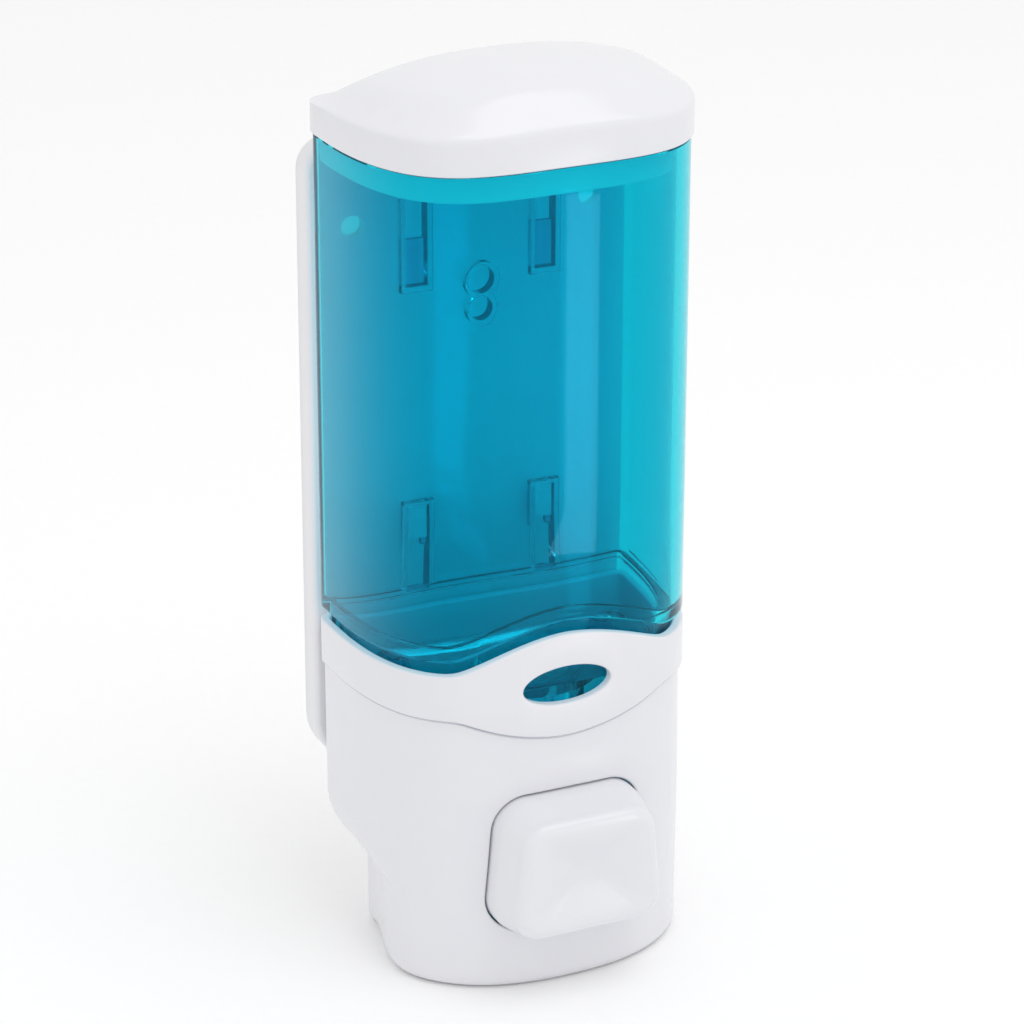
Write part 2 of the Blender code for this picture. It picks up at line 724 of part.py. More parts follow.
def front_housing(material):
    levels = housing_levels()
    outer = [ring_at(housing_plan(HOUSING_TOP, 0.0), lowered(HOUSING_TOP))]
    outer += [ring_at(housing_plan(z, 0.0), z) for z in levels]
    for angle in (0.0, math.pi / 6, math.pi / 3, math.pi / 2):
        inset = FOOT_FILLET * (1 - math.cos(angle))
        z = FOOT_FILLET * (1 - math.sin(angle))
        outer.append(ring_at(housing_plan(z, inset), z))
    rim = FOOT_FILLET + FOOT_RIM
    inner = [ring_at(housing_plan(z, rim), z) for z in (0.0, BASE_TOP + RUN_GAP)]
    inner += [ring_at(housing_plan(z, WALL), z) for z in reversed(levels)]
    inner.append(ring_at(housing_plan(HOUSING_TOP, WALL), lowered(HOUSING_TOP)))
    body = loft("front_housing", outer + inner, material, closed=True)

    hole = [
        [(x, -y, z) for x, z in button_outline(0.0)] for y in (BUTTON_SKIRT_Y - 4.0, BUTTON_FACE + 1.0)
    ]
    cuts = [loft("button_hole", hole)]

    lug_top = TANK_BOTTOM - TANK_BOSS_LENGTH - RUN_GAP
    for x, y in TANK_SCREW_PLACES:
        side = math.copysign(1.0, x)
        wall_x = LID_HALF - HOUSING_INSET - WALL / 2
        if y > PLAN_SHOULDER + 12.0:
            wall_x = half_width_at(y + 4.0, HOUSING_INSET + WALL / 2, LID_HALF, LID_DEPTH, PLAN_POWERS)
        inner_x = abs(x) - BOSS_R - 0.6
        x0, x1 = sorted((side * inner_x, side * wall_x))
        join(body, block("tank_lug", (x0, -y - 4.0, lug_top - TANK_LUG_T), (x1, -y + 4.0, lug_top)))
        cuts.append(rod("hole", "Z", (x, -y), SCREW_R + RUN_GAP, lug_top - TANK_LUG_T - 1, lug_top + 1, SMALL_STEPS))

    for x, y in BASE_SCREW_PLACES:
        side = math.copysign(1.0, x)
        boss_low = BASE_TOP + RUN_GAP
        boss_high = boss_low + BASE_BOSS_LENGTH
        join(body, rod("base_boss", "Z", (x, -y), BOSS_R, boss_low, boss_high, SMALL_STEPS))
        reach = half_width_at(y + 1.0, WALL / 2, *housing_size(boss_low))
        if y < UNDERCUT_FADE_TO:
            reach -= UNDERCUT_IN * (1 - smooth((y - UNDERCUT_FADE_FROM) / (UNDERCUT_FADE_TO - UNDERCUT_FADE_FROM)))
        x0, x1 = sorted((x, side * reach))
        join(body, block("boss_web", (x0, -y - 1.0, boss_low), (x1, -y + 1.0, boss_high)))
        cuts.append(rod("pilot", "Z", (x, -y), SCREW_R + RUN_GAP, boss_low - 1, boss_high - 1, SMALL_STEPS))

    for x in (-PUMP_SCREW_X, PUMP_SCREW_X):
        front = -PUMP_REAR + RUN_GAP
        rear = -PLATE_BACKSET - WALL / 2
        centre = (x, PUMP_SCREW_Z)
        join(body, rod("pump_boss", "Y", centre, BOSS_R, front, rear, SMALL_STEPS))
        cuts.append(rod("pilot", "Y", centre, SCREW_R + RUN_GAP, front - 1, -PLATE_BACKSET - WALL, SMALL_STEPS))
    cut(body, *cuts)
    return body


def base_cover(material):
    edge = FOOT_FILLET + FOOT_RIM + RUN_GAP
    body = loft(
        "base_cover",
        [ring_at(housing_plan(z, edge), z) for z in (BASE_RECESS, BASE_TOP)],
        material,
    )
    cut(body, rod("nozzle_hole", "Z", (0, -PORT_Y), NOZZLE_HOLE_R, 0, BASE_TOP + 1))
    for x, y in BASE_SCREW_PLACES:
        cut(body, rod("hole", "Z", (x, -y), SCREW_R + RUN_GAP, 0, BASE_TOP + 1, SMALL_STEPS))
    return body


# ---------------------------------------------------------------- push button
def push_button(material):
    def ring(inset, y):
        return [(x, -y, z) for x, z in button_outline(inset)]

    rings = []
    face = BUTTON_FACE
    neck = FOOT_DEPTH - 1.0
    centre_z = (BUTTON_LOW + BUTTON_HIGH) / 2
    flank = BUTTON_DRAFT + SLIDE_GAP
    rim = button_outline(flank + BUTTON_RIM_R)

    def dish(share):
        depth = face - BUTTON_DISH * (1 - (1 - share) ** 2) - 0.1
        return [(x * (1 - share), -depth, centre_z + (z - centre_z) * (1 - share)) for x, z in rim]

    rings += [dish(share) for share in (0.92, 0.7, 0.45, 0.2)]
    rings.append(ring(flank + BUTTON_RIM_R, face))
    for angle in (math.pi / 6, math.pi / 3, math.pi / 2):
        inset = flank + BUTTON_RIM_R * (1 - math.sin(angle))
        rings.append(ring(inset, face - BUTTON_RIM_R * (1 - math.cos(angle))))
    rings.append(ring(SLIDE_GAP, neck))
    rings.append(ring(SLIDE_GAP, BUTTON_SKIRT_Y))
    rings.append(ring(SLIDE_GAP + BUTTON_T, BUTTON_SKIRT_Y))
    rings.append(ring(SLIDE_GAP + BUTTON_T, neck))
    rings.append(ring(flank + BUTTON_T, face - BUTTON_DISH - BUTTON_T - 1.0))
    body = loft("push_button", rings, material)

    front = front_depth_at(BUTTON_HALF_LOW + BUTTON_STOP_W, *housing_size(PUMP_Z))
    stop_depth = front - WALL - 2 * RUN_GAP
    for side in (-1, 1):
        x0, x1 = sorted((side * (BUTTON_HALF_LOW - 3.0), side * (BUTTON_HALF_LOW + BUTTON_STOP_W - 1.0)))
        low = (x0, -stop_depth, BUTTON_LOW + 7.0)
        high = (x1, -stop_depth + BUTTON_STOP_T, BUTTON_LOW + 13.0)
        join(body, block("stop", low, high))
    boss_front = -(face - BUTTON_DISH - BUTTON_T)
    join(body, rod("socket", "Y", (0, PUMP_Z), STEM_R + 2.5, boss_front, -SOCKET_REAR, 24))
    cut(body, rod("socket_bore", "Y", (0, PUMP_Z), STEM_R + RUN_GAP, STEM_TIP - RUN_GAP, -BUTTON_SKIRT_Y, 24))
    cut(body, rod("pin_hole", "X", (-PIN_Y, PUMP_Z), PIN_R + RUN_GAP, -8, 8, SMALL_STEPS))
    return body


# ---------------------------------------------------------------- pump
def plunger(material):
    head_rear = -PISTON_REAR + 1.5
    profile = [
        (0, STEM_TIP),
        (STEM_R, STEM_TIP),
        (STEM_R, -PISTON_REAR - PISTON_T - 1.2),
        (PUMP_BORE_R - SLIDE_GAP, -PISTON_REAR - PISTON_T - 1.2),
        (PUMP_BORE_R - SLIDE_GAP, -PISTON_REAR - PISTON_T),
        (STEM_R + 1.0, -PISTON_REAR - PISTON_T),
        (STEM_R + 1.0, head_rear),
        (0, head_rear),
    ]
    body = turned("plunger", "Y", (0, PUMP_Z), profile, ROUND_STEPS, material)
    cut(body, rod("pin_hole", "X", (-PIN_Y, PUMP_Z), PIN_R + RUN_GAP, -8, 8, SMALL_STEPS))
    return body


def plunger_pin(material):
    return rod("plunger_pin", "X", (-PIN_Y, PUMP_Z), PIN_R, -STEM_R - 2.2, STEM_R + 2.2, SMALL_STEPS, material)


def piston_cup(material):
    """A lipped rubber ring behind the piston's flange."""
    front = -PISTON_REAR - PISTON_T + RUN_GAP
    rear = -PISTON_REAR
    outer = PUMP_BORE_R - 0.15
    inner = STEM_R + 1.0 + RUN_GAP
    profile = [
        (outer - 0.6, front),
        (outer, rear),
        (outer - 1.0, rear),
        (inner + 0.9, front + 1.5),
        (inner, front + 1.5),
        (inner, front),
    ]
    return turned("piston_cup", "Y", (0, PUMP_Z), profile, ROUND_STEPS, material)


def return_spring(material):
    """A helix of round wire between the pump's end wall and the piston."""
    start = -CHAMBER_REAR - RUN_GAP - SPRING_WIRE_R
    end = -PISTON_REAR + 1.5 + RUN_GAP + SPRING_WIRE_R
    per_turn = 14
    around = 6
    count = SPRING_TURNS * per_turn
    rings = []
    for i in range(count + 1):
        angle = 2 * math.pi * i / per_turn
        along = lerp(start, end, i / count)
        ring = []
        for j in range(around):
            phase = 2 * math.pi * j / around
            radius = SPRING_R + SPRING_WIRE_R * math.cos(phase)
            ring.append(
                (
                    radius * math.cos(angle),
                    along + SPRING_WIRE_R * math.sin(phase),
                    PUMP_Z + radius * math.sin(angle),
                )
            )
        rings.append(ring)
    return loft("return_spring", rings, material)


def pump_body(material):
    centre = (0, PUMP_Z)
    outer = PUMP_BORE_R + PUMP_WALL
    body = rod("pump_body", "Y", centre, outer, -PUMP_FRONT, -PUMP_REAR - 0.5, material=material)
    flange_x = PUMP_SCREW_X + BOSS_R + 0.6
    flange_low = (-flange_x, -FLANGE_FACE, PUMP_Z - outer + 2.0)
    join(body, block("flange", flange_low, (flange_x, -PUMP_REAR, PUMP_SCREW_Z + BOSS_R + 0.6)))
    join(body, block("duct", (-DUCT_HALF, -SPIGOT_Y - 6.0, PUMP_Z), (DUCT_HALF, -PUMP_REAR - 0.2, DUCT_TOP)))
    join(body, rod("cup", "Z", (0, -SPIGOT_Y), CUP_R, DUCT_TOP - 1.5, CUP_TOP))
    join(body, rod("outlet", "Z", (0, -PORT_Y), OUTLET_R, OUTLET_END, PUMP_Z - 2.0, 24))
    cuts = [
        rod("bore", "Y", centre, PUMP_BORE_R, -PUMP_FRONT - 1, -CHAMBER_REAR),
        rod("socket", "Z", (0, -SPIGOT_Y), SPIGOT_R + RUN_GAP, DUCT_TOP, CUP_TOP + 1),
        rod("riser", "Z", (0, -SPIGOT_Y), 3.6, DUCT_TOP - 4.6, DUCT_TOP + 1, 24),
        block(
            "channel",
            (-PORT_R, -SPIGOT_Y, DUCT_TOP - 4.5),
            (PORT_R, -PORT_Y + PORT_R, DUCT_TOP - 1.8),
        ),
        rod("port", "Z", (0, -PORT_Y), PORT_R - 0.05, PUMP_Z, DUCT_TOP - 3.0, SMALL_STEPS),
        rod("outlet_bore", "Z", (0, -PORT_Y), OUTLET_BORE_R, OUTLET_END - 1, PUMP_Z, SMALL_STEPS),
    ]
    for x in (-PUMP_SCREW_X, PUMP_SCREW_X):
        place = (x, PUMP_SCREW_Z)
        cuts.append(rod("hole", "Y", place, SCREW_R + RUN_GAP, -FLANGE_FACE - 1, -PUMP_REAR + 1, SMALL_STEPS))
    cut(body, *cuts)
    return body


def pump_cap(material):
    """Closes the cylinder's front and guides the stem."""
    start = -PUMP_FRONT - RUN_GAP
    profile = [
        (CAP_R, start),
        (CAP_R, start - CAP_T),
        (STEM_R + 1.6, start - CAP_T),
        (STEM_R + 1.6, start - CAP_T + 1.6),
        (STEM_R + SLIDE_GAP, start - CAP_T + 1.6),
        (STEM_R + SLIDE_GAP, start),
    ]
    return turned("pump_cap", "Y", (0, PUMP_Z), profile, ROUND_STEPS, material)


def stem_seal(material):
    start = -PUMP_FRONT - RUN_GAP - CAP_T
    end = start + 1.6 - RUN_GAP
    return tube("stem_seal", "Y", (0, PUMP_Z), STEM_R + 1.6 - RUN_GAP, STEM_R + 0.2, start, end, 24, material)


def inlet_gasket(material):
    low = DUCT_TOP + RUN_GAP
    return tube(
        "inlet_gasket", "Z", (0, -SPIGOT_Y), SPIGOT_R, SPIGOT_BORE_R, low, SPIGOT_END - RUN_GAP, 24, material
    )


def duckbill(name, y, flange_r, body_r, flange_top, length, material):
    """A one-way silicone valve: a flange with a tapering bill below it, open through its slit."""
    flange_low = flange_top - 0.9
    tip = flange_top - length
    profile = [
        (flange_r, flange_top),
        (flange_r, flange_low),
        (body_r, flange_low),
        (0.9, tip),
        (0.45, tip),
        (body_r - 0.8, flange_low),
        (body_r - 0.8, flange_top),
    ]
    return turned(name, "Z", (0, -y), profile, SMALL_STEPS, material)


def nozzle(material):
    """Sleeve over the pump's outlet that narrows to the tip in the base's opening."""
    grip = OUTLET_R + RUN_GAP
    seat = OUTLET_END - RUN_GAP
    profile = [
        (NOZZLE_R, OUTLET_END + 5.0),
        (NOZZLE_R, OUTLET_END - 2.5),
        (NOZZLE_TIP_R, NOZZLE_TIP + 1.0),
        (NOZZLE_TIP_R, NOZZLE_TIP),
        (NOZZLE_TIP_R - 1.2, NOZZLE_TIP),
        (NOZZLE_TIP_R - 1.2, seat - 3.0),
        (OUTLET_BORE_R + 1.0, seat - 3.0),
        (OUTLET_BORE_R + 1.0, seat - 1.2),
        (grip, seat - 1.2),
        (grip, OUTLET_END + 5.0),
    ]
    return turned("nozzle", "Z", (0, -PORT_Y), profile, 24, material)


# ---------------------------------------------------------------- fasteners
def screw(name, axis, centre, head_face, length, material):
    """A round-headed screw whose shank runs up, or back, from its bearing face."""
    outer = head_face - SCREW_HEAD_T
    profile = [
        (0, outer + 0.9),
        (0.9, outer + 0.5),
        (1.2, outer),
        (SCREW_HEAD_R * 0.75, outer + 0.25),
        (SCREW_HEAD_R, outer + 1.1),
        (SCREW_HEAD_R, head_face),
        (SCREW_R, head_face),
        (SCREW_R, head_face + length - 1.2),
        (0, head_face + length),
    ]
    return turned(name, axis, centre, profile, 12, material)


def screws(material):
    tank_face = TANK_BOTTOM - TANK_BOSS_LENGTH - TANK_LUG_T - 2 * RUN_GAP
    tank_length = TANK_LUG_T + TANK_BOSS_LENGTH - 3.0
    base_face = BASE_RECESS - RUN_GAP
    pump_face = -FLANGE_FACE - RUN_GAP
    pieces = []
    for i, (x, y) in enumerate(TANK_SCREW_PLACES, 1):
        pieces.append(screw(f"tank_screw_{i}", "Z", (x, -y), tank_face, tank_length, material))
    for i, (x, y) in enumerate(BASE_SCREW_PLACES, 1):
        pieces.append(screw(f"base_screw_{i}", "Z", (x, -y), base_face, BASE_T + 6.0, material))
    for i, x in enumerate((-PUMP_SCREW_X, PUMP_SCREW_X), 1):
        place = (x, PUMP_SCREW_Z)
        pieces.append(screw(f"pump_screw_{i}", "Y", place, pump_face, PUMP_FLANGE_T + 5.5, material))
    return pieces


# ---------------------------------------------------------------- assembly
def body_axis(name, x, y, z):
    """An empty on a moving body's joint axis; the body's pieces hang under it."""
    empty = bpy.data.objects.new(name, None)
    empty.location = (x * MM, y * MM, (z - ORIGIN_HEIGHT) * MM)
    bpy.context.scene.collection.objects.link(empty)
    return empty


def attach(empty, pieces):
    for piece in pieces:
        piece.parent = empty
        piece.location = -Vector(empty.location)


def main():
    for obj in list(bpy.data.objects):
        bpy.data.objects.remove(obj, do_unlink=True)
    white = plastic("white_abs", (0.80, 0.80, 0.82), 0.28)
    plate_white = plastic("plate_abs", (0.72, 0.72, 0.74), 0.4)
    blue = plastic("blue_translucent", (0.0, 0.38, 0.55), 0.1, alpha=0.75)
    natural = plastic("natural_acetal", (0.75, 0.74, 0.70), 0.45)
    silicone = plastic("silicone", (0.55, 0.56, 0.55), 0.6)
    rubber = plastic("nitrile_rubber", (0.03, 0.03, 0.03), 0.7)
    steel = plastic("zinc_steel", (0.62, 0.62, 0.60), 0.35, metallic=1.0)

    wall_plate(plate_white)
    fixed = [
        tank(blue),
        wave_collar(white),
        front_housing(white),
        base_cover(white),
        pump_body(natural),
        pump_cap(natural),
        stem_seal(rubber),
        inlet_gasket(rubber),
        duckbill("inlet_valve", SPIGOT_Y, 3.3, 2.5, DUCT_TOP - 0.2, 3.6, silicone),
        nozzle(natural),
        duckbill("outlet_valve", PORT_Y, 3.2, 2.2, OUTLET_END - RUN_GAP - 1.4, 4.6, silicone),
        return_spring(steel),
    ]
    fixed += screws(steel)
    sliding_lid = [lid(white)]
    pressed = [push_button(white), plunger(natural), plunger_pin(steel), piston_cup(rubber)]
    attach(body_axis("dispenser_axis", 0, -PLATE_BACKSET, ORIGIN_HEIGHT), fixed)
    attach(body_axis("lid_axis", 0, -(PLATE_BACKSET + LID_DEPTH) / 2, LID_LOW), sliding_lid)
    attach(body_axis("button_axis", 0, -BUTTON_FACE, PUMP_Z), pressed)


main()
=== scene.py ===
"""Looks of a wall mounted soap dispenser: detailed shells, materials, floor, soft light and camera.

Sizes are in millimetres, with heights from the underside of the foot and depths from the wall.
"""

import math

import bmesh
import bpy
from mathutils import Matrix, Vector

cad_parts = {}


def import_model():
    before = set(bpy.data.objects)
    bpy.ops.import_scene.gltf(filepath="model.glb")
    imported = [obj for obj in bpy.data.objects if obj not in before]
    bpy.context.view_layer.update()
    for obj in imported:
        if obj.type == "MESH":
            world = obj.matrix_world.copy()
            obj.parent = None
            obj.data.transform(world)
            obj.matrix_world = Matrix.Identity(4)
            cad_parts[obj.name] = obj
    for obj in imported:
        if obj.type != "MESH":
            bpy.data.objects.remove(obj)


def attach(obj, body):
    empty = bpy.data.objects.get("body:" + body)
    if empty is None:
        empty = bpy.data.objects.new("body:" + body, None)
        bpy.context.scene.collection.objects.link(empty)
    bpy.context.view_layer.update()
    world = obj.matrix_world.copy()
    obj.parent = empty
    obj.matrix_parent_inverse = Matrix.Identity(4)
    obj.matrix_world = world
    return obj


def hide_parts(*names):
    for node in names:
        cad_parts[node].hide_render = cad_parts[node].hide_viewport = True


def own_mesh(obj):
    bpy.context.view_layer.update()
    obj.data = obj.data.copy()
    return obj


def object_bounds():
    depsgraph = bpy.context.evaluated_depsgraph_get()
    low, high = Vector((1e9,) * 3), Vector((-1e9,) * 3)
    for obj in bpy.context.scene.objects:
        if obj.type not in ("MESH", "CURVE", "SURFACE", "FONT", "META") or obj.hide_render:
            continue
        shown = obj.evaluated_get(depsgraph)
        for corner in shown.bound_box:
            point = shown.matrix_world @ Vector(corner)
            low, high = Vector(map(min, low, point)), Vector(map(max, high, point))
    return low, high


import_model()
cad_low, cad_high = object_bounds()

# ---------------------------------------------------------------- sizes, mm
MM = 0.001
WELD = 2e-6                 # metres
FLOOR = cad_low.z           # metres; underside of the foot

LID_HALF = 37.0
LID_DEPTH = 53.1
LID_LOW = 175.25
LID_TOP = 191.39
LID_BAND = 6.4
LID_FILLET_IN = 10.0
LID_FILLET_POWER = 1.85
LID_DOME = 7.0
LID_DOME_POWER = 2.4
LID_DOME_FRONT = 3.0
LID_DOME_REAR = 4.6
LID_DOME_Y = 29.6
LID_SKIRT = 6.0
LID_SKIRT_T = 1.5
LID_WALL = 2.0
TAB_X = 13.0
TAB_WIDTH = 12.4
TAB_T = 1.4
TAB_DROP = 15.0

PLAN_POWERS = (3.98, 2.54)
PLAN_SHOULDER = 14.6
BACK = 6.8
BACK_CORNER_R = 5.0
RUN_GAP = 0.3
WALL = 2.2
EDGE_R = 0.45               # moulded edges of the white pieces

PLATE_T = 6.2
PLATE_SKIN = 2.2
PLATE_HALF = 36.2
PLATE_LOW = 33.5
PLATE_HIGH = 171.45
PLATE_TOP_R = 6.5
PLATE_BOTTOM_R = 12.0
PLATE_EDGE_R = 1.2          # round of its front edge
PLATE_SPINE = 7.0
PLATE_SCREW_X = 26.0
PLATE_SCREW_INSET = 18.0
PLATE_SCREW_R = 2.3
LUG_X = 14.4
LUG_NECK = 0.9
LUG_HEAD = 1.9
LUG_HEAD_T = 1.5
LUG_HEIGHT = 7.0
SLOT_LIP = 1.4
SLOT_SHELL = 1.1
SLOT_DEPTH = 2.1
SLOT_HALF = 2.3
SLOT_FRONT = BACK + SLOT_LIP + SLOT_DEPTH + SLOT_SHELL
SLOT_LENGTH = 29.5
SLOT_EDGE_R = 0.35
INSIDE = 0.05               # keeps a cut's face off the face it meets
LIFT_OFF = 9.6

TANK_INSET = 0.5
TANK_WALL = 2.3
TANK_TOP = LID_LOW - RUN_GAP
TANK_FLOOR = 63.9
TANK_BOTTOM = 60.9
LOWER_SLOT_TOP = TANK_FLOOR + SLOT_LENGTH
UPPER_SLOT_TOP = LID_LOW - LID_SKIRT - 2 * RUN_GAP
KEYHOLE_Z = TANK_TOP - 38.5
KEYHOLE_HALF_PITCH = 3.1
KEYHOLE_UPPER_R = 3.0
KEYHOLE_LOWER_R = 2.6
KEYHOLE_RIM = 1.0
SUMP_R = 10.0
SUMP_Y = 32.4
SUMP_FLOOR = 58.6
SPIGOT_Y = 27.0
SPIGOT_R = 6.0
SPIGOT_BORE_R = 4.0
SPIGOT_END = 47.4
SCREW_BOSS_R = 3.2
PILOT_R = 1.6
TANK_SCREWS = ((-24.5, 19.0), (24.5, 19.0), (-23.0, 35.0), (23.0, 35.0))

COLLAR_LOW = 60.9
COLLAR_HIGH = 70.55
COLLAR_T = 1.9
COLLAR_INSET = 0.4
COLLAR_SWELL = 6.35
SWELL_HALF = 23.1
SWELL_POWER = 1.8
LEDGE_GAP = 2.9
NECK_INSET = COLLAR_INSET + COLLAR_T + RUN_GAP
WINDOW_HALF_W = 9.8
WINDOW_HALF_H = 4.1
COLLAR_MIDDLE = (COLLAR_LOW + COLLAR_HIGH) / 2

HOUSING_TOP = COLLAR_LOW - RUN_GAP
HOUSING_INSET = 1.1
FOOT_HALF = 35.5
FOOT_DEPTH = 55.9
FOOT_POWERS = (2.33, 3.13)
UNDERCUT_TOP = 31.5
UNDERCUT_LOW = 19.0
UNDERCUT_IN = 7.3
UNDERCUT_REAR = 0.6
UNDERCUT_FADE_FROM = 16.0
UNDERCUT_FADE_TO = 44.0
FOOT_FILLET = 2.6
FOOT_RIM = 1.6
BASE_TOP = 5.1

BUTTON_LOW = 13.1
BUTTON_HIGH = 42.8
BUTTON_HALF_LOW = 19.2
BUTTON_HALF_HIGH = 16.2
BUTTON_CORNER_R = 7.6
BUTTON_FACE = 64.5
BUTTON_DRAFT = 1.5
BUTTON_T = 2.0
BUTTON_SKIRT_Y = 44.0
BUTTON_DISH = 2.2
BUTTON_RIM_R = 2.4
SLIDE_GAP = 0.4

PUMP_Z = 28.2
SPRING_REAR = 19.2          # depths of the ends of the return spring
SPRING_FRONT = 29.7
SPRING_R = 5.6
SPRING_WIRE_R = 0.6
SPRING_TURNS = 6

QUARTER_STEPS = 44          # facets of a quarter of the plan


# ---------------------------------------------------------------- mesh helpers
def lerp(a, b, t):
    return a + (b - a) * t


def smooth(t):
    t = min(max(t, 0.0), 1.0)
    return t * t * (3 - 2 * t)


def solid(name, points, faces):
    """A closed mesh object from points in mm, normals outwards, standing in the shared frame."""
    bm = bmesh.new()
    verts = [bm.verts.new((x * MM, y * MM, z * MM + FLOOR)) for x, y, z in points]
    for face in faces:
        bm.faces.new([verts[i] for i in face])
    bmesh.ops.recalc_face_normals(bm, faces=bm.faces)
    mesh = bpy.data.meshes.new(name)
    bm.to_mesh(mesh)
    bm.free()
    obj = bpy.data.objects.new(name, mesh)
    bpy.context.scene.collection.objects.link(obj)
    return obj


def loft(name, rings, closed=False):
    """Skins rings of equal count. Open lofts get a cap at each end; closed ones join last to first."""
    count = len(rings[0])
    points = [point for ring in rings for point in ring]
    faces = []
    for i in range(len(rings) if closed else len(rings) - 1):
        low = i * count
        high = ((i + 1) % len(rings)) * count
        for j in range(count):
            k = (j + 1) % count
            faces.append((low + j, low + k, high + k, high + j))
    if not closed:
        last = (len(rings) - 1) * count
        faces.append(tuple(reversed(range(count))))
        faces.append(tuple(range(last, last + count)))
    return solid(name, points, faces)


def rod(name, axis, centre, radius, start, end, steps=32):
    """A cylinder along an axis, between two absolute places on it."""
    rings = []
    for along in (start, end):
        ring = []
        for i in range(steps):
            angle = 2 * math.pi * i / steps
            a = centre[0] + radius * math.cos(angle)
            b = centre[1] + radius * math.sin(angle)
            ring.append((a, b, along) if axis == "Z" else (a, along, b))
        rings.append(ring)
    return loft(name, rings)


def block(name, low, high, round_off=0.0):
    """A box; with a round-off its four long edges along Z are rounded."""
    (x0, y0, z0), (x1, y1, z1) = low, high
    if not round_off:
        ring = [(x0, y0), (x1, y0), (x1, y1), (x0, y1)]
    else:
        ring = []
        corners = ((x1, y1, 1, 1, 0), (x0, y1, -1, 1, 1), (x0, y0, -1, -1, 2), (x1, y0, 1, -1, 3))
        for x, y, sx, sy, quarter in corners:
            for i in range(4):
                angle = math.pi / 2 * (quarter + i / 3)
                cx = x - sx * round_off
                cy = y - sy * round_off
                ring.append((cx + round_off * math.cos(angle), cy + round_off * math.sin(angle)))
    return loft(name, [[(x, y, z0) for x, y in ring], [(x, y, z1) for x, y in ring]])


def boolean(target, tools, operation):
    """Joins or cuts with all the tools in one exact operation, then welds the result."""
    group = bpy.data.collections.new("tools")
    bpy.context.scene.collection.children.link(group)
    for tool in tools:
        bpy.context.scene.collection.objects.unlink(tool)
        group.objects.link(tool)
    modifier = target.modifiers.new(operation.title(), "BOOLEAN")
    modifier.operation = operation
    modifier.solver = "EXACT"
    modifier.operand_type = "COLLECTION"
    modifier.collection = group
    bpy.context.view_layer.update()
    depsgraph = bpy.context.evaluated_depsgraph_get()
    mesh = bpy.data.meshes.new_from_object(target.evaluated_get(depsgraph), depsgraph=depsgraph)
    target.modifiers.clear()
    bm = bmesh.new()
    bm.from_mesh(mesh)
    bmesh.ops.remove_doubles(bm, verts=bm.verts, dist=WELD)
    bmesh.ops.dissolve_degenerate(bm, edges=bm.edges, dist=WELD)
    bm.to_mesh(mesh)
    bm.free()
    old = target.data
    target.data = mesh
    bpy.data.meshes.remove(old)
    for tool in tools:
        bpy.data.objects.remove(tool)
    bpy.data.collections.remove(group)
    mesh.name = target.name


def join(target, *tools):
    boolean(target, tools, "UNION")


def cut(target, *tools):
    boolean(target, tools, "DIFFERENCE")


def merge(target, parts):
    """Adds the parts' faces to the target's mesh."""
    bm = bmesh.new()
    bm.from_mesh(target.data)
    for part in parts:
        bm.from_mesh(part.data)
        bpy.data.objects.remove(part)
    bm.to_mesh(target.data)
    bm.free()


def finish_piece(obj, material, body, slot, angle, *nodes):
    """Shades the piece and hands it to its body in place of its CAD nodes."""
    obj.data.materials.clear()
    obj.data.materials.append(material)
    obj.data.shade_smooth()
    obj.data.set_sharp_from_angle(angle=math.radians(angle))
    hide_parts(*nodes)
    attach(obj, body)


# ---------------------------------------------------------------- outlines
def plan(inset=0.0, half=LID_HALF, depth=LID_DEPTH, powers=PLAN_POWERS, back=BACK):
    """The shared plan outline as (x, depth) points, anticlockwise from the middle of the back."""
    a = half - inset
    b = depth - inset - PLAN_SHOULDER
    rear = back + inset
    corner = max(BACK_CORNER_R - inset, 1.0)
    across, along = powers
    side = [((a - corner) * i / 8, rear) for i in range(8)]
    for i in range(11):
        angle = math.pi / 2 * i / 10
        side.append((a - corner + corner * math.sin(angle), rear + corner - corner * math.cos(angle)))
    for i in range(1, QUARTER_STEPS + 1):
        angle = math.pi / 2 * smooth(i / QUARTER_STEPS)
        x = a * abs(math.cos(angle)) ** (2 / across)
        depth_there = PLAN_SHOULDER + b * math.sin(angle) ** (2 / along)
        side.append((x, max(depth_there, rear + corner + 0.05 * i)))
    side[-1] = (0.0, PLAN_SHOULDER + b)
    return side + [(-x, y) for x, y in reversed(side[1:-1])]


def ring_at(outline, height):
    """An outline lifted to a height, which may be a number or a function of x and depth."""
    if callable(height):
        return [(x, -y, height(x, y)) for x, y in outline]
    return [(x, -y, height) for x, y in outline]


def front_depth_at(x, half, front, powers):
    """Depth of a plan outline's front at a distance x from the middle."""
    across, along = powers
    share = min(abs(x) / half, 0.99)
    return PLAN_SHOULDER + (front - PLAN_SHOULDER) * (1 - share**across) ** (1 / along)


def swell(x, depth):
    """How far the collar's edge leaves its side height."""
    if depth < PLAN_SHOULDER + 8.0:
        return 0.0
    t = 1 - (abs(x) / SWELL_HALF) ** SWELL_POWER
    return COLLAR_SWELL * (t + math.sqrt(t * t + 0.015)) / 2


def raised(base, extra=0.0):
    return lambda x, y: base + extra + swell(x, y)


def lowered(base, extra=0.0):
    return lambda x, y: base + extra - swell(x, y)


def rounded_wall(outer, thickness, radius, steps=4):
    """Profile of a standing wall with rounded edges: (inset, which end, offset from that end)."""
    inner = outer + thickness
    turns = [math.pi / 2 * i / steps for i in range(steps + 1)]
    profile = [(outer + radius * (1 - math.sin(a)), "low", radius * (1 - math.cos(a))) for a in turns]
    profile += [(outer + radius * (1 - math.cos(a)), "high", -radius * (1 - math.sin(a))) for a in turns]
    profile += [(inner - radius * (1 - math.sin(a)), "high", -radius * (1 - math.cos(a))) for a in turns]
    profile += [(inner - radius * (1 - math.cos(a)), "low", radius * (1 - math.sin(a))) for a in turns]
    return profile


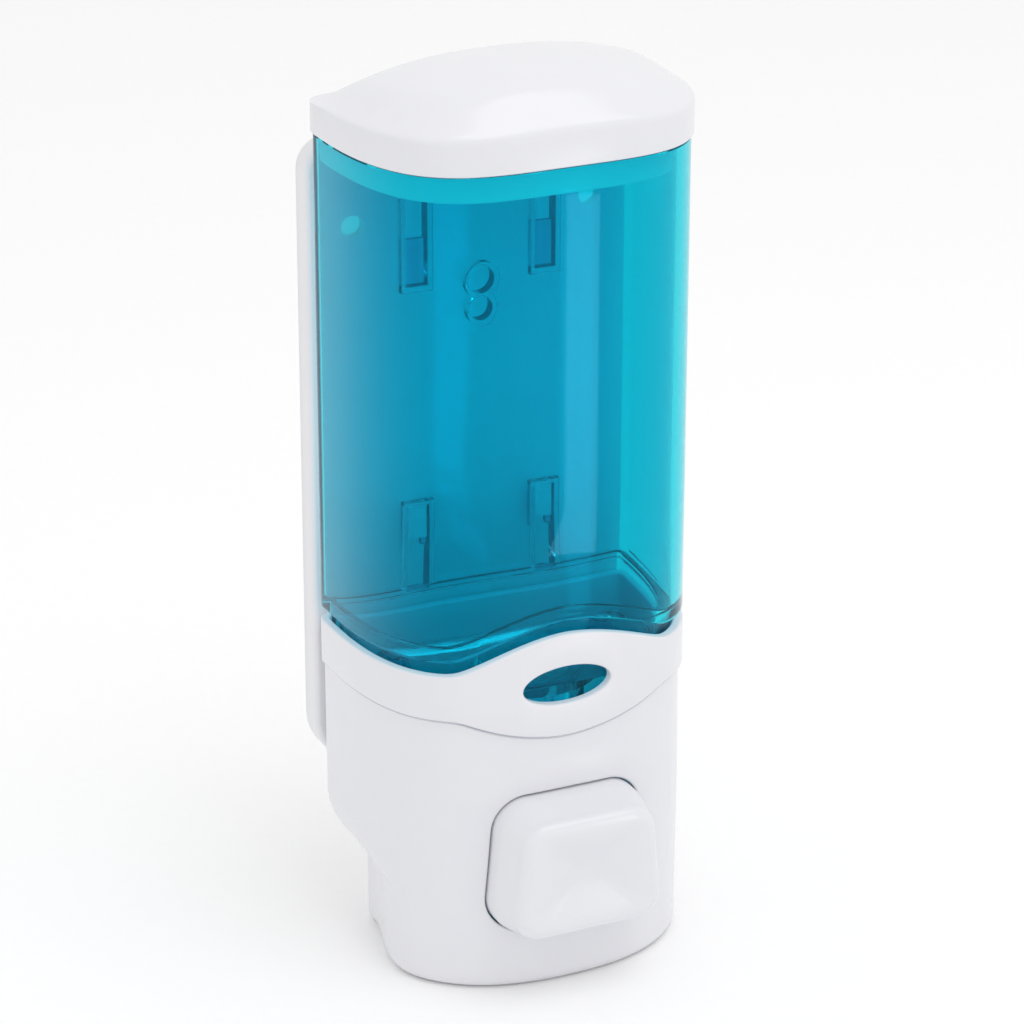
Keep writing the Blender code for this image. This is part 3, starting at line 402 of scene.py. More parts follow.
# ---------------------------------------------------------------- lid
def lid_top(x, depth):
    across = abs(x) / LID_HALF
    if depth > LID_DOME_Y:
        fall = LID_DOME_FRONT * ((depth - LID_DOME_Y) / (LID_DEPTH - LID_DOME_Y)) ** LID_DOME_POWER
    else:
        fall = LID_DOME_REAR * ((LID_DOME_Y - depth) / (LID_DOME_Y - BACK)) ** LID_DOME_POWER
    return LID_TOP - LID_DOME * across**LID_DOME_POWER - fall


def lid_crown(extra, drop, fillet_steps, dome_steps):
    """Rings from the top of the side wall, over the fillet, to the middle of the top."""
    band_top = LID_LOW + LID_BAND
    foot = band_top - drop
    rings = []
    for i in range(1, fillet_steps + 1):
        angle = math.pi / 2 * i / fillet_steps
        inset = extra + LID_FILLET_IN * (1 - math.cos(angle))
        rise = math.sin(angle) ** lerp(1.0, LID_FILLET_POWER, smooth(1.4 * i / fillet_steps))

        def height(x, y, rise=rise):
            return foot + (lid_top(x, y) - drop - foot) * rise

        rings.append(ring_at(plan(inset), height))
    end = plan(extra + LID_FILLET_IN)
    for i in range(1, dome_steps + 1):
        t = 0.985 * i / dome_steps
        shrunk = [(x * (1 - t), LID_DOME_Y + (y - LID_DOME_Y) * (1 - t)) for x, y in end]
        rings.append(ring_at(shrunk, lambda x, y: lid_top(x, y) - drop))
    return rings


def lid_shell(material):
    edge = TANK_INSET + TANK_WALL + RUN_GAP
    inside = edge + LID_SKIRT_T
    rings = list(reversed(lid_crown(0.0, 0.0, 18, 14)))
    rings.append(ring_at(plan(0.0), LID_LOW + LID_BAND))
    for i in range(5):
        angle = math.pi / 2 * i / 4
        inset = EDGE_R * (1 - math.cos(angle))
        rings.append(ring_at(plan(inset), LID_LOW + EDGE_R * (1 - math.sin(angle))))
    rings.append(ring_at(plan(edge), LID_LOW))
    rings.append(ring_at(plan(edge), LID_LOW - LID_SKIRT + 0.4))
    rings.append(ring_at(plan(edge + 0.3), LID_LOW - LID_SKIRT))
    rings.append(ring_at(plan(inside - 0.3), LID_LOW - LID_SKIRT))
    rings.append(ring_at(plan(inside), LID_LOW - LID_SKIRT + 0.4))
    rings.append(ring_at(plan(inside), LID_LOW + LID_BAND - LID_WALL))
    rings += lid_crown(inside, LID_WALL, 8, 6)
    body = loft("lid_shell", rings)
    tab_rear = SLOT_FRONT + SLIDE_GAP
    tabs = []
    for x in (-TAB_X, TAB_X):
        low = (x - TAB_WIDTH / 2, -tab_rear - TAB_T, LID_LOW - TAB_DROP)
        high = (x + TAB_WIDTH / 2, -tab_rear, LID_LOW + 3.0)
        tabs.append(block("tab", low, high, 0.4))
        web_low = (x - TAB_WIDTH / 2, -tab_rear - TAB_T, LID_LOW - 1.5)
        web_high = (x + TAB_WIDTH / 2, -BACK - edge - 0.5, LID_LOW + 2.5)
        tabs.append(block("web", web_low, web_high))
    join(body, *tabs)
    finish_piece(body, material, "lid", "white_abs", 32, "lid")


# ---------------------------------------------------------------- tank
def slot_tools(x, top, low):
    """The box round a hanging slot, and the cuts of the slot and its wider entry."""
    wide = SLOT_HALF + SLOT_SHELL
    step_top = COLLAR_HIGH + LEDGE_GAP
    cavity_low = max(low, step_top) + SLOT_SHELL
    cavity_top = top - SLOT_SHELL
    box_low = max(low, step_top + 0.2)
    shells = [block("slot_box", (x - wide, -SLOT_FRONT, box_low), (x + wide, -BACK - 1.0, top), SLOT_EDGE_R)]
    if low < step_top:
        rib_rear = -BACK - NECK_INSET - 1.0
        rib_high = (x + wide, rib_rear, box_low + 1.0)
        shells.append(block("slot_rib", (x - wide, -SLOT_FRONT, low), rib_high, SLOT_EDGE_R))
    under = -BACK - SLOT_LIP
    pocket_low = (x - SLOT_HALF, under - SLOT_DEPTH, cavity_low)
    pocket = block("pocket", pocket_low, (x + SLOT_HALF, under, cavity_top))
    entry_top = cavity_top - LIFT_OFF
    entry_low = entry_top - LUG_HEIGHT - 4 * RUN_GAP
    neck = LUG_NECK + SLIDE_GAP
    throat_high = (x + neck, -BACK + 1, cavity_top - INSIDE)
    throat = block("throat", (x - neck, under - 0.5, entry_low + 1.0), throat_high)
    entry_corner = (x - SLOT_HALF + INSIDE, under - 0.5, entry_low)
    entry = block("entry", entry_corner, (x + SLOT_HALF - INSIDE, -BACK + 1, entry_top))
    return shells, (pocket, throat, entry)


def figure_eight(name, upper_r, lower_r, y0, y1):
    upper = rod(name, "Y", (0, KEYHOLE_Z + KEYHOLE_HALF_PITCH), upper_r, y0, y1, 48)
    join(upper, rod("lower", "Y", (0, KEYHOLE_Z - KEYHOLE_HALF_PITCH), lower_r, y0, y1, 48))
    return upper


def between_step_and_top(above, share):
    """Height a share of the way from just above the wavy step to the tank's top."""
    return lambda x, y: lerp(COLLAR_HIGH + LEDGE_GAP + above + swell(x, y), TANK_TOP, share)


def tank_shell(material):
    wall_top = TANK_INSET + TANK_WALL
    neck_in = NECK_INSET + WALL
    radius = 0.4
    rings = [
        ring_at(plan(NECK_INSET), TANK_BOTTOM),
        ring_at(plan(NECK_INSET), raised(COLLAR_HIGH, LEDGE_GAP)),
    ]
    for i in range(4):
        angle = math.pi / 2 * i / 3
        inset = TANK_INSET + radius * (1 - math.sin(angle))
        rings.append(ring_at(plan(inset), raised(COLLAR_HIGH, LEDGE_GAP + radius * (1 - math.cos(angle)))))
    for t in (0.25, 0.5, 0.75):
        rings.append(ring_at(plan(TANK_INSET), between_step_and_top(1.0, t)))
    rings.append(ring_at(plan(TANK_INSET), TANK_TOP - 0.2))
    rings.append(ring_at(plan(TANK_INSET + 0.2), TANK_TOP))
    rings.append(ring_at(plan(wall_top - 0.2), TANK_TOP))
    rings.append(ring_at(plan(wall_top), TANK_TOP - 0.2))
    for t in (0.75, 0.5, 0.25):
        rings.append(ring_at(plan(wall_top), between_step_and_top(3.0, t)))
    rings.append(ring_at(plan(wall_top), raised(COLLAR_HIGH, LEDGE_GAP + TANK_WALL + 0.5)))
    rings.append(ring_at(plan(wall_top + 0.5), raised(COLLAR_HIGH, LEDGE_GAP + TANK_WALL)))
    rings.append(ring_at(plan(neck_in - 0.3), raised(COLLAR_HIGH, LEDGE_GAP + TANK_WALL)))
    rings.append(ring_at(plan(neck_in), raised(COLLAR_HIGH, LEDGE_GAP + TANK_WALL - 0.3)))
    rings.append(ring_at(plan(neck_in), TANK_FLOOR + 1.0))
    rings.append(ring_at(plan(neck_in + 0.3), TANK_FLOOR + 0.3))
    rings.append(ring_at(plan(neck_in + 1.0), TANK_FLOOR))
    body = loft("tank_shell", rings)
    shells = []
    cuts = []
    for x in (-LUG_X, LUG_X):
        for top, low in ((LOWER_SLOT_TOP, TANK_FLOOR - 1.0), (UPPER_SLOT_TOP, UPPER_SLOT_TOP - SLOT_LENGTH)):
            boxes, tools = slot_tools(x, top, low)
            shells += boxes
            cuts += tools
    rim_upper = KEYHOLE_UPPER_R + KEYHOLE_RIM
    rim_lower = KEYHOLE_LOWER_R + KEYHOLE_RIM
    shells.append(figure_eight("keyhole_boss", rim_upper, rim_lower, -BACK - 4.6, -BACK - 1.0))
    cuts.append(figure_eight("keyhole", KEYHOLE_UPPER_R, KEYHOLE_LOWER_R, -BACK - 3.0, -BACK + 1))
    centre = (0, -SUMP_Y)
    shells.append(rod("sump", "Z", centre, SUMP_R + WALL, SUMP_FLOOR - WALL, TANK_BOTTOM + 1.0, 64))
    shells.append(rod("spigot", "Z", (0, -SPIGOT_Y), SPIGOT_R, SPIGOT_END, SUMP_FLOOR - 0.5, 48))
    for x, y in TANK_SCREWS:
        shells.append(rod("boss", "Z", (x, -y), SCREW_BOSS_R, TANK_BOTTOM - 10.0, TANK_BOTTOM + 1.0, 24))
        cuts.append(rod("pilot", "Z", (x, -y), PILOT_R, TANK_BOTTOM - 11.0, TANK_BOTTOM - 1.0, 16))
    join(body, *shells)
    cuts.append(rod("well", "Z", centre, SUMP_R, SUMP_FLOOR, TANK_FLOOR + 1.0, 64))
    cuts.append(rod("bore", "Z", (0, -SPIGOT_Y), SPIGOT_BORE_R, SPIGOT_END - 1, SUMP_FLOOR + 1, 32))
    cut(body, *cuts)
    finish_piece(body, material, "dispenser", "blue_translucent", 30, "tank")


# ---------------------------------------------------------------- collar
def front_cutter(name, outline_at, surface, inner_y, flares):
    """A tool that cuts an opening in a curved front, flaring where it meets the surface."""
    rings = [[(x, -inner_y, z) for x, z in outline_at(0.0)]]
    for grow, below in flares:
        rings.append([(x, -(surface(x, z) - below), z) for x, z in outline_at(-grow)])
    last_grow = flares[-1][0]
    rings.append([(x, -(FOOT_DEPTH + 12.0), z) for x, z in outline_at(-last_grow)])
    return loft(name, rings)


def lip_flares(radius, steps=5):
    """(growth, distance under the surface) pairs of a rounded lip, ending just above the surface."""
    pairs = [(radius * (1 - math.cos(a)), radius * (1 - math.sin(a))) for a in
             (math.pi / 2 * i / steps for i in range(steps + 1))]
    return pairs + [(radius + 0.02, -0.3)]


def window_outline(inset):
    steps = 64
    points = []
    for i in range(steps):
        angle = 2 * math.pi * i / steps
        x = (WINDOW_HALF_W - inset) * math.cos(angle)
        points.append((x, COLLAR_MIDDLE + (WINDOW_HALF_H - inset) * math.sin(angle)))
    return points


def collar_band(material):
    rings = []
    for inset, end, offset in rounded_wall(COLLAR_INSET, COLLAR_T, EDGE_R):
        height = lowered(COLLAR_LOW, offset) if end == "low" else raised(COLLAR_HIGH, offset)
        rings.append(ring_at(plan(inset), height))
    body = loft("collar_band", rings, closed=True)

    def surface(x, z):
        return front_depth_at(x, LID_HALF - COLLAR_INSET, LID_DEPTH - COLLAR_INSET, PLAN_POWERS)

    cut(body, front_cutter("window", window_outline, surface, LID_DEPTH - 8.0, lip_flares(0.55)))
    finish_piece(body, material, "dispenser", "white_abs", 38, "wave_collar")


# ---------------------------------------------------------------- housing
def housing_size(height):
    t = smooth((HOUSING_TOP - height) / HOUSING_TOP)
    half = lerp(LID_HALF - HOUSING_INSET, FOOT_HALF, t)
    depth = lerp(LID_DEPTH - HOUSING_INSET, FOOT_DEPTH, t)
    powers = [lerp(top, foot, t) for top, foot in zip(PLAN_POWERS, FOOT_POWERS)]
    return half, depth, powers


def housing_plan(height, inset):
    """The housing's outline at a height: it rounds off towards the foot, and is undercut behind."""
    half, depth, powers = housing_size(height)
    rise = (UNDERCUT_TOP - height) / (UNDERCUT_TOP - UNDERCUT_LOW)
    pull = UNDERCUT_IN * (1 - math.sqrt(1 - min(max(rise, 0.0), 1.0) ** 2 * 0.85)) / (1 - math.sqrt(0.15))
    moved = []
    for x, y in plan(inset, half, depth, powers):
        fade = 1 - smooth((y - UNDERCUT_FADE_FROM) / (UNDERCUT_FADE_TO - UNDERCUT_FADE_FROM))
        shift = pull * fade
        rear = UNDERCUT_REAR * (1 - smooth((y - BACK) / (PLAN_SHOULDER - 2.0)))
        limit = max(half - inset - shift, 1.0)
        moved.append((x * limit / (half - inset), y + shift * rear))
    return moved


def button_outline(inset, corner_steps=12, side_steps=6):
    """The button's rounded trapezoid as (x, z) points."""
    low = BUTTON_LOW + inset
    high = BUTTON_HIGH - inset
    slope = (BUTTON_HALF_LOW - BUTTON_HALF_HIGH) / (BUTTON_HIGH - BUTTON_LOW)
    lean = math.atan(slope)
    side_in = inset / math.cos(lean)
    half_low = BUTTON_HALF_LOW - side_in - slope * (low - BUTTON_LOW)
    half_high = BUTTON_HALF_LOW - side_in - slope * (high - BUTTON_LOW)
    radius = max(BUTTON_CORNER_R - inset, 0.4)
    spread_low = radius * math.tan((math.pi / 2 + lean) / 2)
    spread_high = radius * math.tan((math.pi / 2 - lean) / 2)
    corners = (
        (half_low - spread_low, low + radius, -math.pi / 2, lean),
        (half_high - spread_high, high - radius, lean, math.pi / 2),
    )
    points = []
    for cx, cz, start, end in corners:
        for i in range(corner_steps + 1):
            angle = lerp(start, end, i / corner_steps)
            points.append((cx + radius * math.cos(angle), cz + radius * math.sin(angle)))
    filled = []
    for a, b in zip(points, points[1:]):
        filled.append(a)
        gap = math.hypot(b[0] - a[0], b[1] - a[1])
        if gap > 3.0:
            for i in range(1, side_steps):
                t = i / side_steps
                filled.append((lerp(a[0], b[0], t), lerp(a[1], b[1], t)))
    filled.append(points[-1])
    bottom = filled[0][0]
    top = filled[-1][0]
    below = [(bottom * i / 5, low) for i in range(5)]
    above = [(top * i / 5, high) for i in range(4, -1, -1)]
    right = below + filled + above
    return right + [(-x, z) for x, z in reversed(right[1:-1])]


def housing_shell(material):
    levels = [56.0 - 2.45 * i for i in range(11)]
    levels = [z for z in levels if z > UNDERCUT_TOP + 0.4] + [UNDERCUT_TOP]
    levels += [UNDERCUT_TOP - (UNDERCUT_TOP - UNDERCUT_LOW) * s / 14 for s in range(1, 15)]
    levels += [UNDERCUT_LOW - 0.6, 16.0, 13.0, 10.0, 7.0, 4.5]

    def below_wave(z):
        """The upper levels bend with the collar's wave, less and less going down."""
        share = smooth((z - 44.0) / (HOUSING_TOP - 44.0))
        return lambda x, y: z - swell(x, y) * share

    outer = [ring_at(housing_plan(HOUSING_TOP, 0.3), lowered(HOUSING_TOP))]
    outer.append(ring_at(housing_plan(HOUSING_TOP, 0.0), lowered(HOUSING_TOP, -0.3)))
    outer += [ring_at(housing_plan(z, 0.0), below_wave(z)) for z in levels]
    for i in range(9):
        angle = math.pi / 2 * i / 8
        inset = FOOT_FILLET * (1 - math.cos(angle))
        z = FOOT_FILLET * (1 - math.sin(angle))
        outer.append(ring_at(housing_plan(z, inset), z))
    rim = FOOT_FILLET + FOOT_RIM
    inner = [ring_at(housing_plan(z, rim), z) for z in (0.0, BASE_TOP + RUN_GAP)]
    inner += [ring_at(housing_plan(z, WALL), below_wave(z)) for z in reversed(levels) if z > BASE_TOP + 1]
    inner.append(ring_at(housing_plan(HOUSING_TOP, WALL), lowered(HOUSING_TOP)))
    body = loft("housing_shell", outer + inner, closed=True)

    def surface(x, z):
        return front_depth_at(x, *housing_size(z))

    hole = front_cutter("button_hole", button_outline, surface, BUTTON_SKIRT_Y - 4.0, lip_flares(0.5))
    cut(body, hole)
    finish_piece(body, material, "dispenser", "white_abs", 38, "front_housing")


# ---------------------------------------------------------------- push button
def button_shell(material):
    def ring(inset, y):
        return [(x, -y, z) for x, z in button_outline(inset)]

    flank = BUTTON_DRAFT + SLIDE_GAP
    neck = FOOT_DEPTH - 1.0
    centre_z = (BUTTON_LOW + BUTTON_HIGH) / 2
    rim = button_outline(flank + BUTTON_RIM_R)

    def dish(share):
        sink = BUTTON_DISH * smooth(share * 1.1)
        return [
            (x * (1 - share), -(BUTTON_FACE - sink), centre_z + (z - centre_z) * (1 - share)) for x, z in rim
        ]

    shares = (0.97, 0.9, 0.8, 0.7, 0.6, 0.5, 0.42, 0.34, 0.27, 0.2, 0.14, 0.09, 0.045)
    rings = [dish(share) for share in shares]
    for i in range(13):
        angle = math.pi / 2 * i / 12
        inset = flank + BUTTON_RIM_R * (1 - math.sin(angle))
        rings.append(ring(inset, BUTTON_FACE - BUTTON_RIM_R * (1 - math.cos(angle))))
    for i in range(1, 6):
        t = i / 6
        rings.append(ring(lerp(flank, SLIDE_GAP, t), lerp(BUTTON_FACE - BUTTON_RIM_R, neck, t)))
    rings.append(ring(SLIDE_GAP, neck))
    rings.append(ring(SLIDE_GAP, BUTTON_SKIRT_Y))
    rings.append(ring(SLIDE_GAP + BUTTON_T, BUTTON_SKIRT_Y))
    rings.append(ring(SLIDE_GAP + BUTTON_T, neck))
    rings.append(ring(flank + BUTTON_T, BUTTON_FACE - BUTTON_DISH - BUTTON_T - 1.0))
    body = loft("button_shell", rings)
    finish_piece(body, material, "button", "white_abs", 38, "push_button")


# ---------------------------------------------------------------- return spring
def coil_spring(material):
    """Round wire helix of the return spring, built at rest; the real spring shortens towards its rear end as
    the button is pressed.
    """
    per_turn = 28
    around = 12
    count = SPRING_TURNS * per_turn
    rear = SPRING_REAR + SPRING_WIRE_R
    front = SPRING_FRONT - SPRING_WIRE_R
    rings = []
    for i in range(count + 1):
        angle = 2 * math.pi * i / per_turn
        along = -lerp(rear, front, i / count)
        ring = []
        for j in range(around):
            phase = 2 * math.pi * j / around
            radius = SPRING_R + SPRING_WIRE_R * math.cos(phase)
            y = along + SPRING_WIRE_R * math.sin(phase)
            ring.append((radius * math.cos(angle), y, PUMP_Z + radius * math.sin(angle)))
        rings.append(ring)
    body = loft("coil_spring", rings)
    finish_piece(body, material, "dispenser", "zinc_steel", 60, "return_spring")
    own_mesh(body)


# ---------------------------------------------------------------- wall plate
def plate_outline(inset):
    half = PLATE_HALF - inset
    low = PLATE_LOW + inset
    high = PLATE_HIGH - inset
    corners = (
        (half, low, PLATE_BOTTOM_R, -math.pi / 2, -1, 1),
        (half, high, PLATE_TOP_R, 0.0, -1, -1),
        (-half, high, PLATE_TOP_R, math.pi / 2, 1, -1),
        (-half, low, PLATE_BOTTOM_R, math.pi, 1, 1),
    )
    points = []
    for x, z, full_radius, start, sx, sz in corners:
        radius = full_radius - inset
        for i in range(15):
            angle = start + math.pi / 28 * i
            cx = x + sx * radius
            cz = z + sz * radius
            points.append((cx + radius * math.cos(angle), cz + radius * math.sin(angle)))
    return points


def plate_shell(material):
    profile = [(0.8, 0.0), (0.25, 0.25), (0.0, 0.8)]
    for i in range(7):
        angle = math.pi / 2 * i / 6
        inset = PLATE_EDGE_R * (1 - math.cos(angle))
        profile.append((inset, PLATE_T - PLATE_EDGE_R * (1 - math.sin(angle))))
    body = loft("plate_shell", [[(x, -y, z) for x, z in plate_outline(i)] for i, y in profile])
    deep = PLATE_T - PLATE_SKIN
    middle = (PLATE_LOW + PLATE_HIGH) / 2
    cuts = []
    spans = (
        (PLATE_LOW + PLATE_SKIN + 3, middle - PLATE_SPINE),
        (middle + PLATE_SPINE, PLATE_HIGH - PLATE_SKIN - 3),
    )
    for side in (-1, 1):
        for low, high in spans:
            x0, x1 = sorted((side * PLATE_SPINE, side * (PLATE_HALF - PLATE_SKIN - PLATE_BOTTOM_R * 0.3)))
            cuts.append(block("recess", (x0, -deep, low), (x1, 1.0, high), 1.0))
        for z in (PLATE_LOW + PLATE_SCREW_INSET, PLATE_HIGH - PLATE_SCREW_INSET):
            cuts.append(rod("hole", "Y", (side * PLATE_SCREW_X, z), PLATE_SCREW_R, -PLATE_T - 1, 1, 32))
    cut(body, *cuts)
    lugs = []
    head_back = BACK + SLOT_LIP + RUN_GAP
    for x in (-LUG_X, LUG_X):
        for slot_top in (LOWER_SLOT_TOP, UPPER_SLOT_TOP):
            top = slot_top - SLOT_SHELL - RUN_GAP
            low = top - LUG_HEIGHT
            neck_low = (x - LUG_NECK, -head_back - 0.5, low)
            lugs.append(block("neck", neck_low, (x + LUG_NECK, -PLATE_T + 1.0, top)))
            head_low = (x - LUG_HEAD, -head_back - LUG_HEAD_T, low)
            lugs.append(block("head", head_low, (x + LUG_HEAD, -head_back, top), 0.3))
    merge(body, lugs)
    finish_piece(body, material, "plate", "plate_abs", 38, "wall_plate")


# ---------------------------------------------------------------- materials
def srgb(text):
    """A hex sRGB colour as linear RGBA."""
    values = [int(text[i : i + 2], 16) / 255 for i in (1, 3, 5)]
    linear = [v / 12.92 if v <= 0.04045 else ((v + 0.055) / 1.055) ** 2.4 for v in values]
    return (*linear, 1.0)


def node(tree, kind, inputs=None, **settings):
    """Adds a node, sets its properties, and sets or links its inputs by name or index."""
    made = tree.nodes.new(kind)
    for key, value in settings.items():
        setattr(made, key, value)
    for key, value in (inputs or {}).items():
        if isinstance(value, bpy.types.NodeSocket):
            tree.links.new(value, made.inputs[key])
        else:
            made.inputs[key].default_value = value
    return made


def new_material(name):
    """An empty node material, its shader and the object-space coordinates in metres."""
    material = bpy.data.materials.new(name)
    material.use_nodes = True
    tree = material.node_tree
    tree.nodes.clear()
    coords = node(tree, "ShaderNodeTexCoord").outputs["Object"]
    shader = node(tree, "ShaderNodeBsdfPrincipled")
    output = node(tree, "ShaderNodeOutputMaterial", {"Surface": shader.outputs["BSDF"]})
    return material, tree, coords, shader, output


def moulded(name, colour, shade, rough_low, rough_high, mottle_mm=9.0, relief=0.004):
    """Injection moulded plastic: faint flow mottling, gloss that varies a little, fine surface relief."""
    material, tree, coords, shader, _ = new_material(name)
    flow = node(tree, "ShaderNodeTexNoise", {"Vector": coords, "Scale": 1000 / mottle_mm, "Detail": 3.0})
    tint = node(
        tree,
        "ShaderNodeMix",
        {"Factor": flow.outputs["Fac"], 6: srgb(colour), 7: srgb(shade)},
        data_type="RGBA",
    )
    gloss = node(tree, "ShaderNodeTexNoise", {"Vector": coords, "Scale": 1000 / 23.0, "Detail": 2.0})
    rough = node(
        tree,
        "ShaderNodeMapRange",
        {
            "Value": gloss.outputs["Fac"],
            "From Min": 0.3,
            "From Max": 0.7,
            "To Min": rough_low,
            "To Max": rough_high,
        },
    )
    grain = node(tree, "ShaderNodeTexNoise", {"Vector": coords, "Scale": 1000 / 0.55, "Detail": 2.0})
    bump = node(
        tree,
        "ShaderNodeBump",
        {"Height": grain.outputs["Fac"], "Strength": 0.25, "Distance": relief * MM},
    )
    tree.links.new(tint.outputs[2], shader.inputs["Base Color"])
    tree.links.new(rough.outputs["Result"], shader.inputs["Roughness"])
    tree.links.new(bump.outputs["Normal"], shader.inputs["Normal"])
    shader.inputs["IOR"].default_value = 1.53
    return material


def translucent(name, through, haze, haze_share, lets_in, roughness):
    """Tinted clear plastic: what is seen through a wall takes its tint, and a little is scattered.

    Light on its way to other surfaces passes almost untinted, so that the back plate stays bright.
    """
    material, tree, coords, shader, output = new_material(name)
    flow = node(tree, "ShaderNodeTexNoise", {"Vector": coords, "Scale": 1000 / 30.0, "Detail": 2.0})
    tint = node(
        tree,
        "ShaderNodeMix",
        {"Factor": flow.outputs["Fac"], 6: srgb(through[0]), 7: srgb(through[1])},
        data_type="RGBA",
    )
    ripple = node(tree, "ShaderNodeTexNoise", {"Vector": coords, "Scale": 1000 / 14.0, "Detail": 1.0})
    bump = node(
        tree,
        "ShaderNodeBump",
        {"Height": ripple.outputs["Fac"], "Strength": 0.15, "Distance": 0.02 * MM},
    )
    tree.links.new(tint.outputs[2], shader.inputs["Base Color"])
    tree.links.new(bump.outputs["Normal"], shader.inputs["Normal"])
    shader.inputs["Transmission Weight"].default_value = 1.0
    shader.inputs["Roughness"].default_value = roughness
    shader.inputs["IOR"].default_value = 1.38
    shader.inputs["Specular Tint"].default_value = srgb("#60D8FF")
    glow = node(tree, "ShaderNodeBsdfTranslucent", {"Color": srgb(haze)})
    both = node(
        tree,
        "ShaderNodeMixShader",
        {0: haze_share, 1: shader.outputs["BSDF"], 2: glow.outputs["BSDF"]},
    )
    path = node(tree, "ShaderNodeLightPath")
    lit = node(
        tree,
        "ShaderNodeMath",
        {0: path.outputs["Is Diffuse Ray"], 1: path.outputs["Is Shadow Ray"]},
        operation="MAXIMUM",
    )
    clear = node(tree, "ShaderNodeBsdfTransparent", {"Color": srgb(lets_in)})
    final = node(
        tree,
        "ShaderNodeMixShader",
        {0: lit.outputs["Value"], 1: both.outputs["Shader"], 2: clear.outputs["BSDF"]},
    )
    tree.links.new(final.outputs["Shader"], output.inputs["Surface"])
    return material


def zinc(name):
    """Bright zinc plated steel."""
    material, tree, coords, shader, _ = new_material(name)
    spots = node(tree, "ShaderNodeTexNoise", {"Vector": coords, "Scale": 1000 / 1.2, "Detail": 4.0})
    rough = node(tree, "ShaderNodeMapRange", {"Value": spots.outputs["Fac"], "To Min": 0.22, "To Max": 0.42})
    tree.links.new(rough.outputs["Result"], shader.inputs["Roughness"])
    shader.inputs["Base Color"].default_value = srgb("#C3C6C9")
    shader.inputs["Metallic"].default_value = 1.0
    return material


def floor_material():
    """Matt white sweep, with a faint grain."""
    material, tree, coords, shader, _ = new_material("studio paper")
    grain = node(tree, "ShaderNodeTexNoise", {"Vector": coords, "Scale": 1000 / 3.0, "Detail": 2.0})
    tint = node(
        tree,
        "ShaderNodeMix",
        {"Factor": grain.outputs["Fac"], 6: srgb("#FFFFFF"), 7: srgb("#FDFDFD")},
        data_type="RGBA",
    )
    tree.links.new(tint.outputs[2], shader.inputs["Base Color"])
    shader.inputs["Roughness"].default_value = 0.6
    shader.inputs["Specular IOR Level"].default_value = 0.2
    return material


def dress(names, material):
    """Gives the kept CAD pieces their finished material."""
    for name in names:
        obj = bpy.data.objects[name]
        obj.material_slots[0].material = material


# ---------------------------------------------------------------- stage, lights, camera
def sweep(material):
    size = 3000.0
    points = [(-size, -size, 0), (size, -size, 0), (size, size, 0), (-size, size, 0)]
    floor = solid("floor", [(x, y, -0.02) for x, y, _ in points], [(0, 1, 2, 3)])
    floor.data.materials.append(material)


def area_light(name, place, target, size, power, lights_surfaces=True):
    light = bpy.data.lights.new(name, "AREA")
    light.shape = "RECTANGLE"
    light.size = size[0] * MM
    light.size_y = size[1] * MM
    light.energy = power
    obj = bpy.data.objects.new(name, light)
    obj.location = Vector(place) * MM + Vector((0, 0, FLOOR))
    aim = Vector(target) * MM + Vector((0, 0, FLOOR)) - obj.location
    obj.rotation_euler = aim.to_track_quat("-Z", "Y").to_euler()
    obj.visible_diffuse = lights_surfaces
    bpy.context.scene.collection.objects.link(obj)


def world(strength):
    sky = bpy.data.worlds.new("studio")
    sky.use_nodes = True
    background = sky.node_tree.nodes["Background"]
    background.inputs["Color"].default_value = srgb("#FFFFFF")
    background.inputs["Strength"].default_value = strength
    bpy.context.scene.world = sky


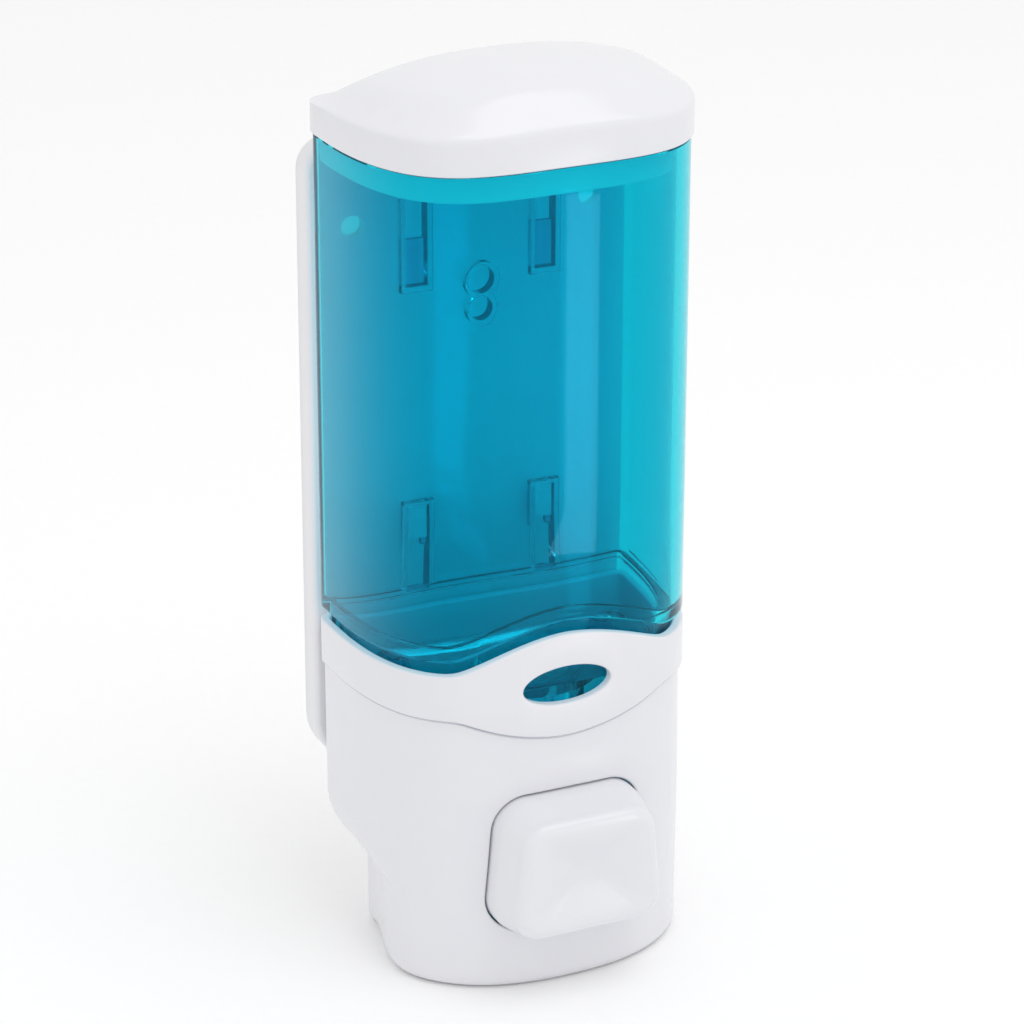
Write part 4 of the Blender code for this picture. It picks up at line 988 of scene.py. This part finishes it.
def camera():
    pitch, yaw, roll = (math.radians(a) for a in (22.145, 25.337, 0.093))
    right = Vector((math.cos(yaw), -math.sin(yaw), 0))
    back = Vector((-math.sin(yaw) * math.cos(pitch), -math.cos(yaw) * math.cos(pitch), math.sin(pitch)))
    up = back.cross(right)
    turned_right = math.cos(roll) * right + math.sin(roll) * up
    turned_up = math.cos(roll) * up - math.sin(roll) * right
    data = bpy.data.cameras.new("camera")
    data.lens = 139.87
    data.sensor_width = 36.0
    data.clip_end = 20.0
    obj = bpy.data.objects.new("camera", data)
    place = Vector((-0.324152, -0.710676, FLOOR + 0.40204))
    axes = Matrix((turned_right, turned_up, back)).transposed()
    obj.matrix_world = Matrix.Translation(place) @ axes.to_4x4()
    bpy.context.scene.collection.objects.link(obj)
    bpy.context.scene.camera = obj


def main():
    white = moulded("white ABS, gloss", "#E6E6EA", "#E2E2E7", 0.16, 0.26)
    plate_white = moulded("white ABS, satin", "#E8E8EB", "#E4E4E8", 0.32, 0.42)
    blue = translucent("tinted clear styrene", ("#1ED9E6", "#1AD6E4"), "#10D4F4", 0.03, "#E4FAFF", 0.03)
    acetal = moulded("natural acetal", "#F1EFE8", "#ECE9E0", 0.3, 0.4)
    rubber = moulded("nitrile rubber", "#1D1D1F", "#242426", 0.5, 0.62)
    silicone = moulded("milky silicone", "#DDE0E0", "#D4D8D8", 0.35, 0.5)
    steel = zinc("zinc plated steel")

    lid_shell(white)
    tank_shell(blue)
    collar_band(white)
    housing_shell(white)
    button_shell(white)
    plate_shell(plate_white)
    dress(("base_cover",), white)
    dress(("pump_body", "pump_cap", "nozzle", "plunger"), acetal)
    dress(("stem_seal", "inlet_gasket", "piston_cup"), rubber)
    dress(("inlet_valve", "outlet_valve"), silicone)
    screws = []
    for kind, count in (("tank", 4), ("base", 4), ("pump", 2)):
        screws += [f"{kind}_screw_{i}" for i in range(1, count + 1)]
    dress(("plunger_pin", *screws), steel)
    coil_spring(steel)

    sweep(floor_material())
    world(0.91)
    area_light("key", (150, -350, 900), (0, -30, 90), (600, 600), 1.6)
    area_light("strip", (79, -203, 60), (5, -53, 60), (11, 112), 0.015, lights_surfaces=False)
    camera()

    scene = bpy.context.scene
    scene.view_settings.view_transform = "Standard"
    scene.cycles.max_bounces = 24
    scene.cycles.transmission_bounces = 24


main()
